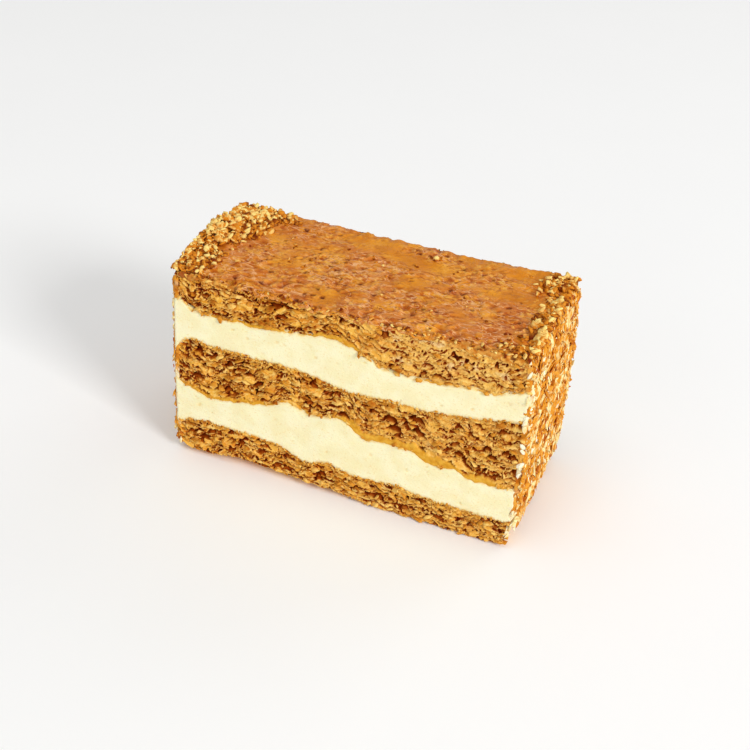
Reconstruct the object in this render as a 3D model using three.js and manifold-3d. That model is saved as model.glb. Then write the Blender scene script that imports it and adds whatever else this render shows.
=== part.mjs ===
// A slice of mille feuille: three sheets of puff pastry with two layers of custard cream between
// them, a caramel glaze on the top sheet, and a coat of fine pastry crumbs on each short end.
// Millimetres, +Z up. The origin is under the middle of the slice, on the surface that it rests on.
// X runs along the slice, Y from the front cut face to the back one.

import * as THREE from 'three';
import { mergeVertices } from 'three/addons/utils/BufferGeometryUtils.js';
import Module from 'manifold-3d';

const wasm = await Module();
wasm.setup();

// Outer size, over the crumbs.
const LENGTH = 96;
const DEPTH = 42;
const HEIGHT = 55.6;

// How far the crumbs stand proud of the glaze and of the two ends.
const CRUMB_REACH = 0.6;

// Clear space between neighbouring pieces.
const GAP = 0.34;

// Every layer has the same number of cells along the slice, so that the two faces at a seam match.
const ALONG = 42;

// Across the slice the cells crowd towards the two cut faces: the lower the power, the more so.
const CROWD_LAYER = 0.45;
const CROWD_GLAZE = 0.75;

// Crumb coats: thickness at each end, how far each stays above the resting surface and below the
// glaze, the depth of the lumps in its outer face and how much thinner its rim is.
const COAT_LEFT = 1.8;
const COAT_RIGHT = 2.6;
const COAT_FOOT = 1.6;
const COAT_BELOW_TOP = 0.5;
const COAT_LUMPS = 0.9;
const COAT_RIM = 0.7;

// The two ends are widest low down, at a share of the height. From there they lean in towards the
// top, and they tuck in at the foot. The right end is cut a little askew. Their corners are rounded.
const END_WIDEST = 0.3;
const END_LEAN_LEFT = 1.3;
const END_LEAN_RIGHT = 1.8;
const END_SKEW = 1;
const END_TUCK = 1.8;
const END_TUCK_HEIGHT = 8;
const END_CORNER_TOP = 2.6;
const END_CORNER_FOOT = 2;

// Cut faces: depth of the pits and ledges between flakes in the pastry, and the slight waves of
// the cream, with the run of each along the slice.
const FLAKE_RELIEF = 2;
const FLAKE_RUN = 2.7;
const LEDGE_SHARE = 0.4;
const LEDGE_RUN = 7;
const CREAM_RELIEF = 0.3;
const CREAM_RUN = 9;

// Glazed top: slow swells with finer wrinkles on them, and the rounding of the edge.
const GLAZE_SWELL = 0.5;
const GLAZE_SWELL_RUN = 13;
const GLAZE_WRINKLE = 0.3;
const GLAZE_WRINKLE_RUN = 4;
const GLAZE_EDGE = 1;
const GLAZE_EDGE_WIDTH = 3;

// Heights of the seams on the front cut face, as [x, z] from the left end to the right.
const SEAM_BOTTOM_TOP = [
  [-47, 9.1], [-42.5, 10.9], [-35.5, 11.4], [-18.5, 10.8], [-14, 9.4], [-10, 8], [-3.5, 9.4],
  [3.5, 8], [9.5, 8.4], [15.5, 9.1], [21.5, 8], [44.5, 7.7],
];
const SEAM_MIDDLE_UNDER = [
  [-47, 24], [-44.5, 21.8], [-36.5, 19.6], [-27.5, 20.8], [-21.5, 22.3], [-15.5, 24.3],
  [-8.5, 23.2], [0, 24.2], [5, 20.9], [12.5, 21.3], [19.5, 20.6], [23.5, 18.8], [29.5, 19.1],
  [33.5, 17.5], [44.5, 18],
];
const SEAM_MIDDLE_TOP = [
  [-47, 30.8], [-44.5, 34.4], [-41.5, 35.8], [-35.5, 35.2], [-11.5, 35.2], [-2.5, 33.2],
  [2.5, 32.9], [8.5, 33.5], [20.5, 33.9], [28.5, 34.5], [34.5, 35.8], [44.5, 37.9],
];
const SEAM_TOP_UNDER = [
  [-45.5, 47], [-41, 44.3], [-31.5, 44.2], [-15.5, 45.2], [-4.5, 46.8], [1.5, 45.7], [7.5, 42.8],
  [14.5, 41.9], [21.5, 42], [28.5, 43.3], [35.5, 43.4], [44.5, 46.5],
];

// How far the rim of the underside curls up off the resting surface, and how wide the curl is.
// The slice rests on the flat inside the rim.
const FRONT_CURL = [
  [-47, 3.4], [-43, 1.6], [-36, 1.6], [-29, 2.8], [-22, 2.3], [-15, 2.2], [-4, 1.6], [8, 0.5], [45, 0.3],
];
const BACK_CURL = 1.2;
const CURL_WIDTH = 5;
const END_CURL_LEFT = 2.4;
const END_CURL_RIGHT = 0.7;
const END_CURL_WIDTH = 6;

// At the back the seams rise and fall less than at the front, and elsewhere along the slice.
const BACK_SWING = 0.65;
const BACK_SHIFT = 17;

// Flaky crumbs fused to the glaze and to the coats: angular chips, sunk a little into what they lie on.
const CRUMB_RADIUS = 1.3;
const CRUMB_THICKNESS = 1.1;
const CRUMB_SIDES = 4;
const CRUMB_TILT = 0.9;
const CRUMB_PROUD = 0.15;
const BAND_CRUMBS = 42;
const CORNER_CRUMBS = 9;
const STRAY_CRUMBS = 5;
const COAT_CRUMBS = 28;
const COAT_CRUMB_DEPTH = 0.55;

// Width of the crumb band on the left of the glaze, at the front and at the back.
const BAND_FRONT = 8;
const BAND_BACK = 14;

const LOOKS = {
  pastry: new THREE.MeshStandardMaterial({ color: 0xcb8c3c, roughness: 0.75, metalness: 0 }),
  glazed: new THREE.MeshStandardMaterial({ color: 0xcd8641, roughness: 0.35, metalness: 0 }),
  cream: new THREE.MeshStandardMaterial({ color: 0xfcf2c4, roughness: 0.6, metalness: 0 }),
  crumbs: new THREE.MeshStandardMaterial({ color: 0xe2a24c, roughness: 0.8, metalness: 0 }),
};

// A repeatable value from 0 to 1 for three whole numbers.
function hash(i, j, k) {
  let h = Math.imul(i, 374761393) ^ Math.imul(j, 668265263) ^ Math.imul(k, 2147483629);
  h = Math.imul(h ^ (h >>> 13), 1274126177);
  return ((h ^ (h >>> 16)) >>> 0) / 4294967296;
}

function randomStream(seed) {
  let count = 0;
  return () => hash(seed, count++, 7);
}

function smooth(t) {
  return t * t * (3 - 2 * t);
}

// Value noise from 0 to 1 over a plane, with one lattice step per unit.
function noise(a, b, layer) {
  const i = Math.floor(a);
  const j = Math.floor(b);
  const s = smooth(a - i);
  const t = smooth(b - j);
  const near = THREE.MathUtils.lerp(hash(i, j, layer), hash(i + 1, j, layer), s);
  const far = THREE.MathUtils.lerp(hash(i, j + 1, layer), hash(i + 1, j + 1, layer), s);
  return THREE.MathUtils.lerp(near, far, t);
}

// Smooth curve through [x, z] points, level beyond its two ends.
function heightAt(points, x) {
  const last = points.length - 1;
  if (x <= points[0][0]) return points[0][1];
  if (x >= points[last][0]) return points[last][1];
  const i = points.findIndex((point) => point[0] > x) - 1;
  const slope = (k) => {
    const a = points[Math.max(k - 1, 0)];
    const b = points[Math.min(k + 1, last)];
    return (b[1] - a[1]) / (b[0] - a[0]);
  };
  const [x0, z0] = points[i];
  const [x1, z1] = points[i + 1];
  const run = x1 - x0;
  const t = (x - x0) / run;
  const rise = (z1 - z0) * smooth(t);
  return z0 + rise + run * t * (1 - t) * ((1 - t) * slope(i) - t * slope(i + 1));
}

// Height of a seam anywhere in the slice: as drawn at the front, calmer and shifted at the back.
function seam(points) {
  const level = points.reduce((sum, point) => sum + point[1], 0) / points.length;
  return (x, y) => {
    const front = heightAt(points, x);
    const inside = THREE.MathUtils.clamp(x * 0.8 + BACK_SHIFT, -36, 36);
    const back = level + BACK_SWING * (heightAt(points, -inside) - level);
    return THREE.MathUtils.lerp(front, back, smooth(y / DEPTH + 0.5));
  };
}

// 0 away from an edge, rising evenly to 1 at the edge over the given width.
function edgeRise(distance, width) {
  return THREE.MathUtils.clamp(1 - distance / width, 0, 1);
}

function underside(x, y) {
  const fromFront = y + DEPTH / 2;
  const fromBack = DEPTH / 2 - y;
  const fromEnd = LENGTH / 2 - COAT_LEFT - Math.abs(x);
  const front = heightAt(FRONT_CURL, x) * edgeRise(fromFront, CURL_WIDTH);
  const back = BACK_CURL * edgeRise(fromBack, CURL_WIDTH);
  const end = (x < 0 ? END_CURL_LEFT : END_CURL_RIGHT) * edgeRise(fromEnd, END_CURL_WIDTH);
  return Math.max(front, back, end);
}

function glazeTop(x, y) {
  const swell = GLAZE_SWELL * noise(x / GLAZE_SWELL_RUN, y / GLAZE_SWELL_RUN, 1);
  const wrinkle = GLAZE_WRINKLE * noise(x / GLAZE_WRINKLE_RUN, y / GLAZE_WRINKLE_RUN, 2);
  const side = edgeRise(DEPTH / 2 - Math.abs(y), GLAZE_EDGE_WIDTH);
  const end = edgeRise(LENGTH / 2 - COAT_LEFT - Math.abs(x), GLAZE_EDGE_WIDTH);
  return HEIGHT - CRUMB_REACH - swell - wrinkle - GLAZE_EDGE * Math.max(side, end) ** 2;
}

// How far the outer face of an end, -1 or 1, stands from the middle of the slice.
function endFace(end, y, z) {
  const rise = (z / HEIGHT - END_WIDEST) / (1 - END_WIDEST);
  const lean = (end < 0 ? END_LEAN_LEFT : END_LEAN_RIGHT) * rise ** 2;
  const skew = end < 0 ? 0 : END_SKEW * (0.5 - y / DEPTH);
  return LENGTH / 2 - CRUMB_REACH - lean - skew - END_TUCK * edgeRise(z, END_TUCK_HEIGHT) ** 2;
}

// The same surface with its corners shared between faces.
function joined(geometry) {
  geometry.deleteAttribute('normal');
  geometry.deleteAttribute('uv');
  return mergeVertices(geometry, 1e-4);
}

function closedMesh(name, geometry, look) {
  const surface = joined(geometry);
  surface.computeVertexNormals();
  const mesh = new THREE.Mesh(surface, look);
  mesh.name = name;
  return mesh;
}

// A layer of the slice: a box of cells, [along, across, up], whose lower and upper faces follow
// the two given surfaces and whose cut faces are pitted.
function layer({ name, look, lower, upper, cells, crowd, relief, run, ledges }) {
  const geometry = new THREE.BoxGeometry(2, 2, 1, ...cells);
  const position = geometry.attributes.position;
  for (let n = 0; n < position.count; n++) {
    const along = position.getX(n);
    const across = position.getY(n);
    const up = position.getZ(n) + 0.5;
    const row = Math.round(up * cells[2]);
    const side = Math.sign(across);
    const coat = along < 0 ? COAT_LEFT : COAT_RIGHT;
    const halfLength = LENGTH / 2 - coat - GAP;
    const flatX = along * halfLength;
    const flatY = side * Math.abs(across) ** crowd * DEPTH / 2;
    const flatZ = THREE.MathUtils.lerp(lower(flatX, flatY), upper(flatX, flatY), up);
    const reach = endFace(Math.sign(along), flatY, flatZ) - coat - GAP;
    const ledge = (row + Math.round(noise(flatX / LEDGE_RUN, row, side + 9))) % 2;
    const rough = THREE.MathUtils.lerp(noise(flatX / run + 50, row * 1.7, side + 5), ledge, ledges);
    const pit = Math.abs(across) > 0.999 ? relief * rough : 0;
    const x = along * THREE.MathUtils.lerp(halfLength, reach, Math.abs(along) ** 3);
    const y = flatY - side * pit;
    position.setXYZ(n, x, y, THREE.MathUtils.lerp(lower(x, y), upper(x, y), up));
  }
  return closedMesh(name, geometry, look);
}

// How much a round corner takes off, at a distance from the end of its arc's straight run.
function roundCut(distance, radius) {
  const into = THREE.MathUtils.clamp(distance, 0, radius);
  return radius - Math.sqrt(radius * radius - into * into);
}

// Half the width of a coat at a height, with round corners at its top and foot.
function coatHalfWidth(z, foot, top) {
  const topCut = roundCut(z - (top - END_CORNER_TOP), END_CORNER_TOP);
  const footCut = roundCut(foot + END_CORNER_FOOT - z, END_CORNER_FOOT);
  return DEPTH / 2 - topCut - footCut;
}

// The crumb coat on one end: a thin upright slab with a knobbly outer face.
function coatSlab(end, thickness) {
  const cells = [1, 11, 16];
  const geometry = new THREE.BoxGeometry(1, 2, 1, ...cells);
  const position = geometry.attributes.position;
  const top = HEIGHT - CRUMB_REACH - COAT_BELOW_TOP;
  for (let n = 0; n < position.count; n++) {
    const out = end * position.getX(n) + 0.5;
    const across = position.getY(n);
    const up = position.getZ(n) + 0.5;
    const z = THREE.MathUtils.lerp(COAT_FOOT, top, up);
    const lump = noise(across * 8 + 30, up * 11, 40 + end);
    const rim = Math.max(edgeRise(1 - Math.abs(across), 0.15), edgeRise(Math.min(up, 1 - up), 0.1));
    const y = across * (coatHalfWidth(z, COAT_FOOT, top) - COAT_LUMPS * lump);
    const outer = endFace(end, y, z) - COAT_LUMPS * lump - COAT_RIM * rim;
    const inner = endFace(end, y, z) - thickness;
    position.setXYZ(n, end * THREE.MathUtils.lerp(inner, outer, out), y, z);
  }
  return geometry;
}

function toSolid(geometry) {
  const surface = joined(geometry);
  const vertProperties = new Float32Array(surface.attributes.position.array);
  const triVerts = new Uint32Array(surface.index.array);
  return new wasm.Manifold(new wasm.Mesh({ numProp: 3, vertProperties, triVerts }));
}

function toGeometry(solid) {
  const { vertProperties, triVerts } = solid.getMesh();
  const geometry = new THREE.BufferGeometry();
  geometry.setAttribute('position', new THREE.BufferAttribute(new Float32Array(vertProperties), 3));
  geometry.setIndex(new THREE.BufferAttribute(new Uint32Array(triVerts), 1));
  return geometry;
}

// One angular chip with its middle at the given place, lying roughly across the given direction.
function crumb(place, outward, size, random) {
  const radius = CRUMB_RADIUS * size;
  const chip = new THREE.CylinderGeometry(radius * 0.8, radius, CRUMB_THICKNESS * size, CRUMB_SIDES);
  const geometry = joined(chip);
  const position = geometry.attributes.position;
  const lie = new THREE.Quaternion().setFromUnitVectors(new THREE.Vector3(0, 1, 0), outward);
  const tilt = () => CRUMB_TILT * (random() - 0.5);
  const spin = new THREE.Quaternion().setFromEuler(new THREE.Euler(tilt(), random() * Math.PI, tilt()));
  const corner = new THREE.Vector3();
  for (let n = 0; n < position.count; n++) {
    corner.fromBufferAttribute(position, n);
    corner.multiplyScalar(0.75 + 0.5 * random());
    corner.applyQuaternion(spin).applyQuaternion(lie).add(place);
    position.setXYZ(n, corner.x, corner.y, corner.z);
  }
  return geometry;
}

function withCrumbs(base, crumbs) {
  return toGeometry(crumbs.reduce((solid, piece) => solid.add(toSolid(piece)), toSolid(base)));
}

// Crumbs on the glaze: a band along the left end, a cluster at the back right corner, a few strays.
function topCrumbs() {
  const random = randomStream(11);
  const up = new THREE.Vector3(0, 0, 1);
  const left = COAT_LEFT + GAP + CRUMB_RADIUS * 1.6 - endFace(-1, 0, HEIGHT);
  const crumbs = [];
  const drop = (x, y) => {
    const place = new THREE.Vector3(x, y, glazeTop(x, y) + CRUMB_PROUD);
    crumbs.push(crumb(place, up, 0.65 + 0.6 * random(), random));
  };
  for (let n = 0; n < BAND_CRUMBS; n++) {
    const across = (n + random()) / BAND_CRUMBS;
    const width = THREE.MathUtils.lerp(BAND_FRONT, BAND_BACK, across);
    drop(left + width * random() ** 1.4, (across - 0.5) * (DEPTH - 5));
  }
  for (let n = 0; n < CORNER_CRUMBS; n++) {
    drop(LENGTH / 2 - 7.5 - 6 * random(), DEPTH / 2 - 3 - 8 * random());
  }
  for (let n = 0; n < STRAY_CRUMBS; n++) {
    drop(-28 + 60 * random(), (random() - 0.5) * (DEPTH - 8));
  }
  return crumbs;
}

function coatCrumbs(end) {
  const random = randomStream(23 + end);
  const outward = new THREE.Vector3(end, 0, 0);
  const crumbs = [];
  for (let n = 0; n < COAT_CRUMBS; n++) {
    const y = (random() - 0.5) * (DEPTH - 7);
    const z = THREE.MathUtils.lerp(COAT_FOOT + 3, HEIGHT - 4, (n + random()) / COAT_CRUMBS);
    const place = new THREE.Vector3(end * (endFace(end, y, z) - COAT_CRUMB_DEPTH), y, z);
    crumbs.push(crumb(place, outward, 0.8 + 0.5 * random(), random));
  }
  return crumbs;
}

const bottomTop = seam(SEAM_BOTTOM_TOP);
const middleUnder = seam(SEAM_MIDDLE_UNDER);
const middleTop = seam(SEAM_MIDDLE_TOP);
const topUnder = seam(SEAM_TOP_UNDER);

const above = (surface) => (x, y) => surface(x, y) + GAP / 2;
const below = (surface) => (x, y) => surface(x, y) - GAP / 2;

const flaky = { relief: FLAKE_RELIEF, run: FLAKE_RUN, ledges: LEDGE_SHARE };
const pastry = { ...flaky, look: LOOKS.pastry, crowd: CROWD_LAYER };
const cream = { relief: CREAM_RELIEF, run: CREAM_RUN, ledges: 0, look: LOOKS.cream, crowd: CROWD_LAYER };

const layers = [
  layer({
    ...pastry,
    name: 'pastry_bottom',
    cells: [ALONG, 4, 4],
    lower: underside,
    upper: below(bottomTop),
  }),
  layer({
    ...cream,
    name: 'cream_lower',
    cells: [ALONG, 4, 2],
    lower: above(bottomTop),
    upper: below(middleUnder),
  }),
  layer({
    ...pastry,
    name: 'pastry_middle',
    cells: [ALONG, 4, 6],
    lower: above(middleUnder),
    upper: below(middleTop),
  }),
  layer({
    ...cream,
    name: 'cream_upper',
    cells: [ALONG, 4, 2],
    lower: above(middleTop),
    upper: below(topUnder),
  }),
];

const topSheet = layer({
  ...flaky,
  name: 'top_sheet',
  look: LOOKS.glazed,
  crowd: CROWD_GLAZE,
  cells: [ALONG, 8, 6],
  lower: above(topUnder),
  upper: glazeTop,
});
const top = closedMesh('pastry_top', withCrumbs(topSheet.geometry, topCrumbs()), LOOKS.glazed);

const coats = [
  closedMesh('crumb_coat_left', withCrumbs(coatSlab(-1, COAT_LEFT), coatCrumbs(-1)), LOOKS.crumbs),
  closedMesh('crumb_coat_right', withCrumbs(coatSlab(1, COAT_RIGHT), coatCrumbs(1)), LOOKS.crumbs),
];

const slice = new THREE.Group();
slice.add(...layers, top, ...coats);

// The origin goes under the middle of the outer box.
const box = new THREE.Box3().setFromObject(slice);
const middle = box.getCenter(new THREE.Vector3());
slice.position.set(-middle.x, -middle.y, -box.min.z);

export default slice;
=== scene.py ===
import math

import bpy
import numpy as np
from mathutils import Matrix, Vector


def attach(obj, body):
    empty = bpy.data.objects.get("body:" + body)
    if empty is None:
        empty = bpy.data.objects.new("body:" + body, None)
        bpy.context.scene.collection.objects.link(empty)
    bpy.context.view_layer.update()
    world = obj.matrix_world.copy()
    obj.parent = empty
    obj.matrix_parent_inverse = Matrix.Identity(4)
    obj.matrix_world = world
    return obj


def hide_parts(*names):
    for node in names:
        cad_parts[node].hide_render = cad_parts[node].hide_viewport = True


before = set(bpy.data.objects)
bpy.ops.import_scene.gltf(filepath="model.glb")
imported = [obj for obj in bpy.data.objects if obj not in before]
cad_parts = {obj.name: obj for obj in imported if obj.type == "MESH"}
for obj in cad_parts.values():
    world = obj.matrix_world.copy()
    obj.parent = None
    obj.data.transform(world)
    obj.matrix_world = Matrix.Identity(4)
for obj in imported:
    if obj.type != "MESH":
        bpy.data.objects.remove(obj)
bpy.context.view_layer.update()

# A slice of mille feuille, dressed round its solids: flaky cut faces, custard cream, a caramel
# glaze, a coat of pressed crumbs on each end, and loose crumbs on top.
# Lengths are in millimetres until a mesh is made. x runs along the slice, y from the front cut
# face to the back one, z up from the foot, and s up through a layer from its underside. An end is
# -1 for the left and 1 for the right one, and a side is -1 for the front and 1 for the back face.

MM = 0.001
# All that is random is drawn from this one source, in order, so that the slice stays the same.
random = np.random.default_rng(8089)

# Outer size of the slice, and how far the crumbs stand out past its body.
LENGTH = 96.0
DEPTH = 42.0
HEIGHT = 55.6
CRUMB_REACH = 0.6
HALF_LENGTH = LENGTH / 2
HALF_DEPTH = DEPTH / 2
GLAZE_LEVEL = HEIGHT - CRUMB_REACH

# The crumb coats of the ends: thickness, foot and top, and the lean and rounding of their faces.
COAT_LEFT = 1.8
COAT_RIGHT = 2.6
COAT_FOOT = 1.6
COAT_TOP = GLAZE_LEVEL - 0.5
END_WIDEST = 0.3
END_LEAN_LEFT = 0.7
END_LEAN_RIGHT = 1.8
END_SKEW = 1.0
END_TUCK = 1.8
END_TUCK_HEIGHT = 8.0
END_CORNER_TOP = 2.6
END_CORNER_FOOT = 2.0
END_TOP_ROUND = 3.0

# Heights of the seams on the front cut face, as (x, z) from the left end to the right.
SEAM_BOTTOM_TOP = (
    (-47, 9.1), (-42.5, 10.9), (-35.5, 11.4), (-18.5, 10.8), (-14, 9.4), (-10, 8), (-3.5, 9.4),
    (3.5, 8), (9.5, 8.4), (15.5, 9.1), (21.5, 8), (44.5, 7.7),
)
SEAM_MIDDLE_UNDER = (
    (-47, 24), (-44.5, 21.8), (-36.5, 19.6), (-27.5, 20.8), (-21.5, 22.3), (-15.5, 24.3),
    (-8.5, 23.2), (0, 24.2), (5, 20.9), (12.5, 21.3), (19.5, 20.6), (23.5, 18.8), (29.5, 19.1),
    (33.5, 17.5), (44.5, 18),
)
SEAM_MIDDLE_TOP = (
    (-47, 30.8), (-44.5, 34.4), (-41.5, 35.8), (-35.5, 35.2), (-11.5, 35.2), (-2.5, 33.2),
    (2.5, 32.9), (8.5, 33.5), (20.5, 33.9), (28.5, 34.5), (34.5, 35.8), (44.5, 37.9),
)
SEAM_TOP_UNDER = (
    (-45.5, 47), (-41, 44.3), (-31.5, 44.2), (-15.5, 45.2), (-4.5, 46.8), (1.5, 45.7), (7.5, 42.8),
    (14.5, 41.9), (21.5, 42), (28.5, 43.3), (35.5, 43.4), (44.5, 46.5),
)
# On the back cut face the seams swing less, are stretched and start elsewhere along the slice.
BACK_SWING = 0.65
BACK_STRETCH = 0.8
BACK_SHIFT = 17.0
BACK_REACH = 36

# How far the foot curls up off its rest: on the front as (x, height), at the back and the ends.
FRONT_CURL = (
    (-47, 3.4), (-43, 1.6), (-36, 1.6), (-29, 2.8), (-22, 2.3), (-15, 2.2), (-4, 1.6), (8, 0.5),
    (45, 0.3),
)
BACK_CURL = 1.2
CURL_WIDTH = 5.0
END_CURL_LEFT = 2.4
END_CURL_RIGHT = 0.7
END_CURL_WIDTH = 6.0

# How far the glaze stays clear of the front face, as (x, gap), and where it ends on the right.
BARE_FRONT = (
    (-47, 2.2), (-40, 1.7), (-30, 0.7), (-20, -0.6), (16, -0.3), (25, 1.2), (31, 2.5), (39, 3.4),
    (47, 5),
)
BARE_RIGHT = 43.5

# How far up each sheet a smooth golden film of syrup covers its cut face, as (x, height).
FILM_UNDER_TOP = (
    (-47, 0), (-38, 0.3), (-30, 0.5), (-22, 1.0), (-12, 0.2), (-4, 1.3), (2, 1.2), (7, 0.2),
    (13, 0), (22, 0.4), (30, 0), (44, 0),
)
FILM_UNDER_MIDDLE = (
    (-47, 0.2), (-36, 0.9), (-25, 1.1), (-17, 0.2), (-8, 0), (-1, 0.7), (2, 2.6), (8, 2.2),
    (14, 2.1), (21, 3.0), (26, 2.8), (30, 1.0), (36, 2.1), (41, 1.0), (44, 0),
)

# Hollows that stand out on the front cut face: x, z, half length, half height and depth.
FRONT_HOLLOWS = (
    (-17.5, 52.9, 3.4, 0.75, 2.2), (-39.6, 33.3, 1.2, 0.8, 2.1), (-36.6, 29.3, 1.9, 0.8, 2.1),
    (-40.1, 25.5, 1.7, 0.8, 2.0), (-29, 27.0, 1.5, 0.6, 1.8), (38.9, 46.6, 2.1, 0.5, 1.8),
    (42.9, 36.9, 1.7, 0.5, 2.0), (32.0, 30.9, 1.3, 0.6, 1.6), (33.8, 34.2, 1.0, 0.6, 1.7),
    (0.1, 26.1, 1.5, 0.8, 1.7), (12.2, 28.8, 2.0, 1.0, 1.8), (15.1, 30.0, 1.3, 0.9, 1.8),
    (18.8, 30.9, 2.0, 1.1, 2.0), (13.6, 26.4, 2.1, 1.0, 1.9), (19.4, 27.2, 2.2, 1.1, 2.0),
    (30.3, 24.2, 1.7, 0.8, 1.8), (36.8, 28.2, 1.0, 0.9, 1.9), (38.2, 25.9, 1.5, 0.9, 1.9),
    (-30.5, 8.6, 1.4, 0.6, 1.6), (-22.5, 7.6, 1.0, 0.5, 1.5), (-38, 6.4, 1.9, 0.8, 1.7),
    (-5.0, 6.0, 1.5, 0.9, 1.7), (36, 51.5, 0.5, 0.9, 1.6), (13.5, 48.4, 1.6, 0.4, 1.5),
    (20.3, 46.8, 1.4, 0.4, 1.4),
)


# ---- numbers

def lattice(i, j, k, seed):
    """A repeatable value from 0 to 1 for each whole-number place."""
    h = i * 374761393 + j * 668265263 + k * 1440662683 + seed * 1013904223
    h &= 0xFFFFFFFF
    h = ((h ^ (h >> 13)) * 1274126177) & 0xFFFFFFFF
    h = ((h ^ (h >> 15)) * 2246822519) & 0xFFFFFFFF
    return ((h ^ (h >> 16)) & 0xFFFFFF) / float(0xFFFFFF)


def whole(a):
    return np.floor(a).astype(np.int64)


NOISE_GAIN = 1.6
RISE_SEED = 77


def noise(x, y, z=0.0, seed=0):
    """Gradient noise of about -1 to 1, with one lattice step per unit."""
    x, y, z = np.broadcast_arrays(np.float64(x), np.float64(y), np.float64(z))
    i, j, k = whole(x), whole(y), whole(z)
    u, v, w = x - i, y - j, z - k
    su, sv, sw = (t * t * t * (t * (t * 6 - 15) + 10) for t in (u, v, w))
    total = np.zeros(x.shape)
    for a in (0, 1):
        for b in (0, 1):
            for c in (0, 1):
                turn = lattice(i + a, j + b, k + c, seed) * 2 * np.pi
                rise = lattice(i + a, j + b, k + c, seed + RISE_SEED) * 2 - 1
                flat = np.sqrt(1 - rise * rise)
                dot = flat * (np.cos(turn) * (u - a) + np.sin(turn) * (v - b)) + rise * (w - c)
                weight = (su if a else 1 - su) * (sv if b else 1 - sv) * (sw if c else 1 - sw)
                total += weight * dot
    return total * NOISE_GAIN


def ripples(x, y, *waves):
    """Noise over a plane as a sum of waves: (height, length in x, length in y, seed)."""
    return sum(height * noise(x / long, y / wide, 0, seed) for height, long, wide, seed in waves)


def layered(x, y, z=0.0, seed=0, octaves=3):
    """Noise with finer and weaker noise on top of it."""
    total, size, share = 0.0, 1.0, 1.0
    for n in range(octaves):
        total = total + share * noise(x * size, y * size, z * size + 5.3 * n, seed + 13 * n)
        size *= 2.03
        share *= 0.5
    return total


def step(low, high, value):
    """0 below low, 1 above high and smooth between them."""
    t = np.clip((value - low) / (high - low), 0, 1)
    return t * t * (3 - 2 * t)


def mix(a, b, t):
    return a + (b - a) * t


def edge_rise(distance, width):
    """1 at an edge, falling to 0 at this width from it."""
    return np.clip(1 - distance / width, 0, 1)


def columns(*values):
    """Values side by side, such as the x, y and z of points."""
    return np.stack(np.broadcast_arrays(*values), -1)


CELL_JITTER = 0.95
FAR_OFF = 9.0


def cells(u, v, seed):
    """Cells round scattered points of a plane: how far each place is inside its cell, the cell's
    random number, and the way from the cell's middle."""
    i, j = whole(u), whole(v)
    nearest = second = np.full(u.shape, FAR_OFF)
    name = du = dv = np.zeros(u.shape)
    for a in (-1, 0, 1):
        for b in (-1, 0, 1):
            pu = i + a + 0.5 + CELL_JITTER * (lattice(i + a, j + b, 1, seed) - 0.5)
            pv = j + b + 0.5 + CELL_JITTER * (lattice(i + a, j + b, 2, seed) - 0.5)
            distance = np.hypot(u - pu, v - pv)
            closer = distance < nearest
            second = np.where(closer, nearest, np.minimum(second, distance))
            nearest = np.where(closer, distance, nearest)
            name = np.where(closer, lattice(i + a, j + b, 3, seed), name)
            du = np.where(closer, u - pu, du)
            dv = np.where(closer, v - pv, dv)
    return second - nearest, name, du, dv


def spread(name, seed):
    """Another random number for each cell name."""
    return lattice(whole(name * 1e6), 0, 0, seed)


# ---- the slice's own form

def curve(points):
    """Smooth height through (x, z) points, level beyond the two ends."""
    px, pz = np.array(points, float).T
    n = np.arange(len(px))
    before, after = np.maximum(n - 1, 0), np.minimum(n + 1, n[-1])
    slopes = (pz[after] - pz[before]) / (px[after] - px[before])

    def height(x):
        x = np.clip(x, px[0], px[-1])
        i = np.clip(np.searchsorted(px, x, side="right") - 1, 0, len(px) - 2)
        run = px[i + 1] - px[i]
        t = (x - px[i]) / run
        rise = (pz[i + 1] - pz[i]) * t * t * (3 - 2 * t)
        return pz[i] + rise + run * t * (1 - t) * ((1 - t) * slopes[i] - t * slopes[i + 1])

    return height


def seam(points, wiggle, spikes, seed):
    """Height of a seam anywhere: as drawn at the front, calmer and shifted at the back."""
    height = curve(points)
    level = float(np.mean([z for _, z in points]))

    def surface(x, y):
        inside = np.clip(x * BACK_STRETCH + BACK_SHIFT, -BACK_REACH, BACK_REACH)
        back = level + BACK_SWING * (height(-inside) - level)
        fine = wiggle * layered(x / 2.2, y / 6.0, 0.0, seed)
        spike = spikes * (1 - 2.2 * abs(noise(x / 0.8, y / 3.0, 0.0, seed + 50)))
        return mix(height(x), back, step(0, 1, y / DEPTH + 0.5)) + fine + spike

    return surface


bottom_top = seam(SEAM_BOTTOM_TOP, 0.3, 0.5, 5)
middle_under = seam(SEAM_MIDDLE_UNDER, 0.45, 0.1, 6)
middle_top = seam(SEAM_MIDDLE_TOP, 0.32, 0.5, 7)
top_under = seam(SEAM_TOP_UNDER, 0.4, 0.1, 8)
front_curl = curve(FRONT_CURL)
bare_front = curve(BARE_FRONT)


def underside(x, y):
    """The foot of the slice, flat in the middle and curled up at its four edges."""
    front = front_curl(x) * edge_rise(y + HALF_DEPTH, CURL_WIDTH)
    back = BACK_CURL * edge_rise(HALF_DEPTH - y, CURL_WIDTH)
    curl = np.where(x < 0, END_CURL_LEFT, END_CURL_RIGHT)
    end = curl * edge_rise(HALF_LENGTH - COAT_LEFT - abs(x), END_CURL_WIDTH)
    return np.maximum(np.maximum(front, back), end)


def end_face(end, y, z):
    """How far the outer face of an end stands from the middle of the slice."""
    rise = (np.clip(z / HEIGHT, 0, 1) - END_WIDEST) / (1 - END_WIDEST)
    lean = np.where(end < 0, END_LEAN_LEFT, END_LEAN_RIGHT) * rise ** 2
    skew = np.where(end < 0, 0, END_SKEW * (0.5 - y / DEPTH))
    return HALF_LENGTH - CRUMB_REACH - lean - skew - END_TUCK * edge_rise(z, END_TUCK_HEIGHT) ** 2


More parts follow.
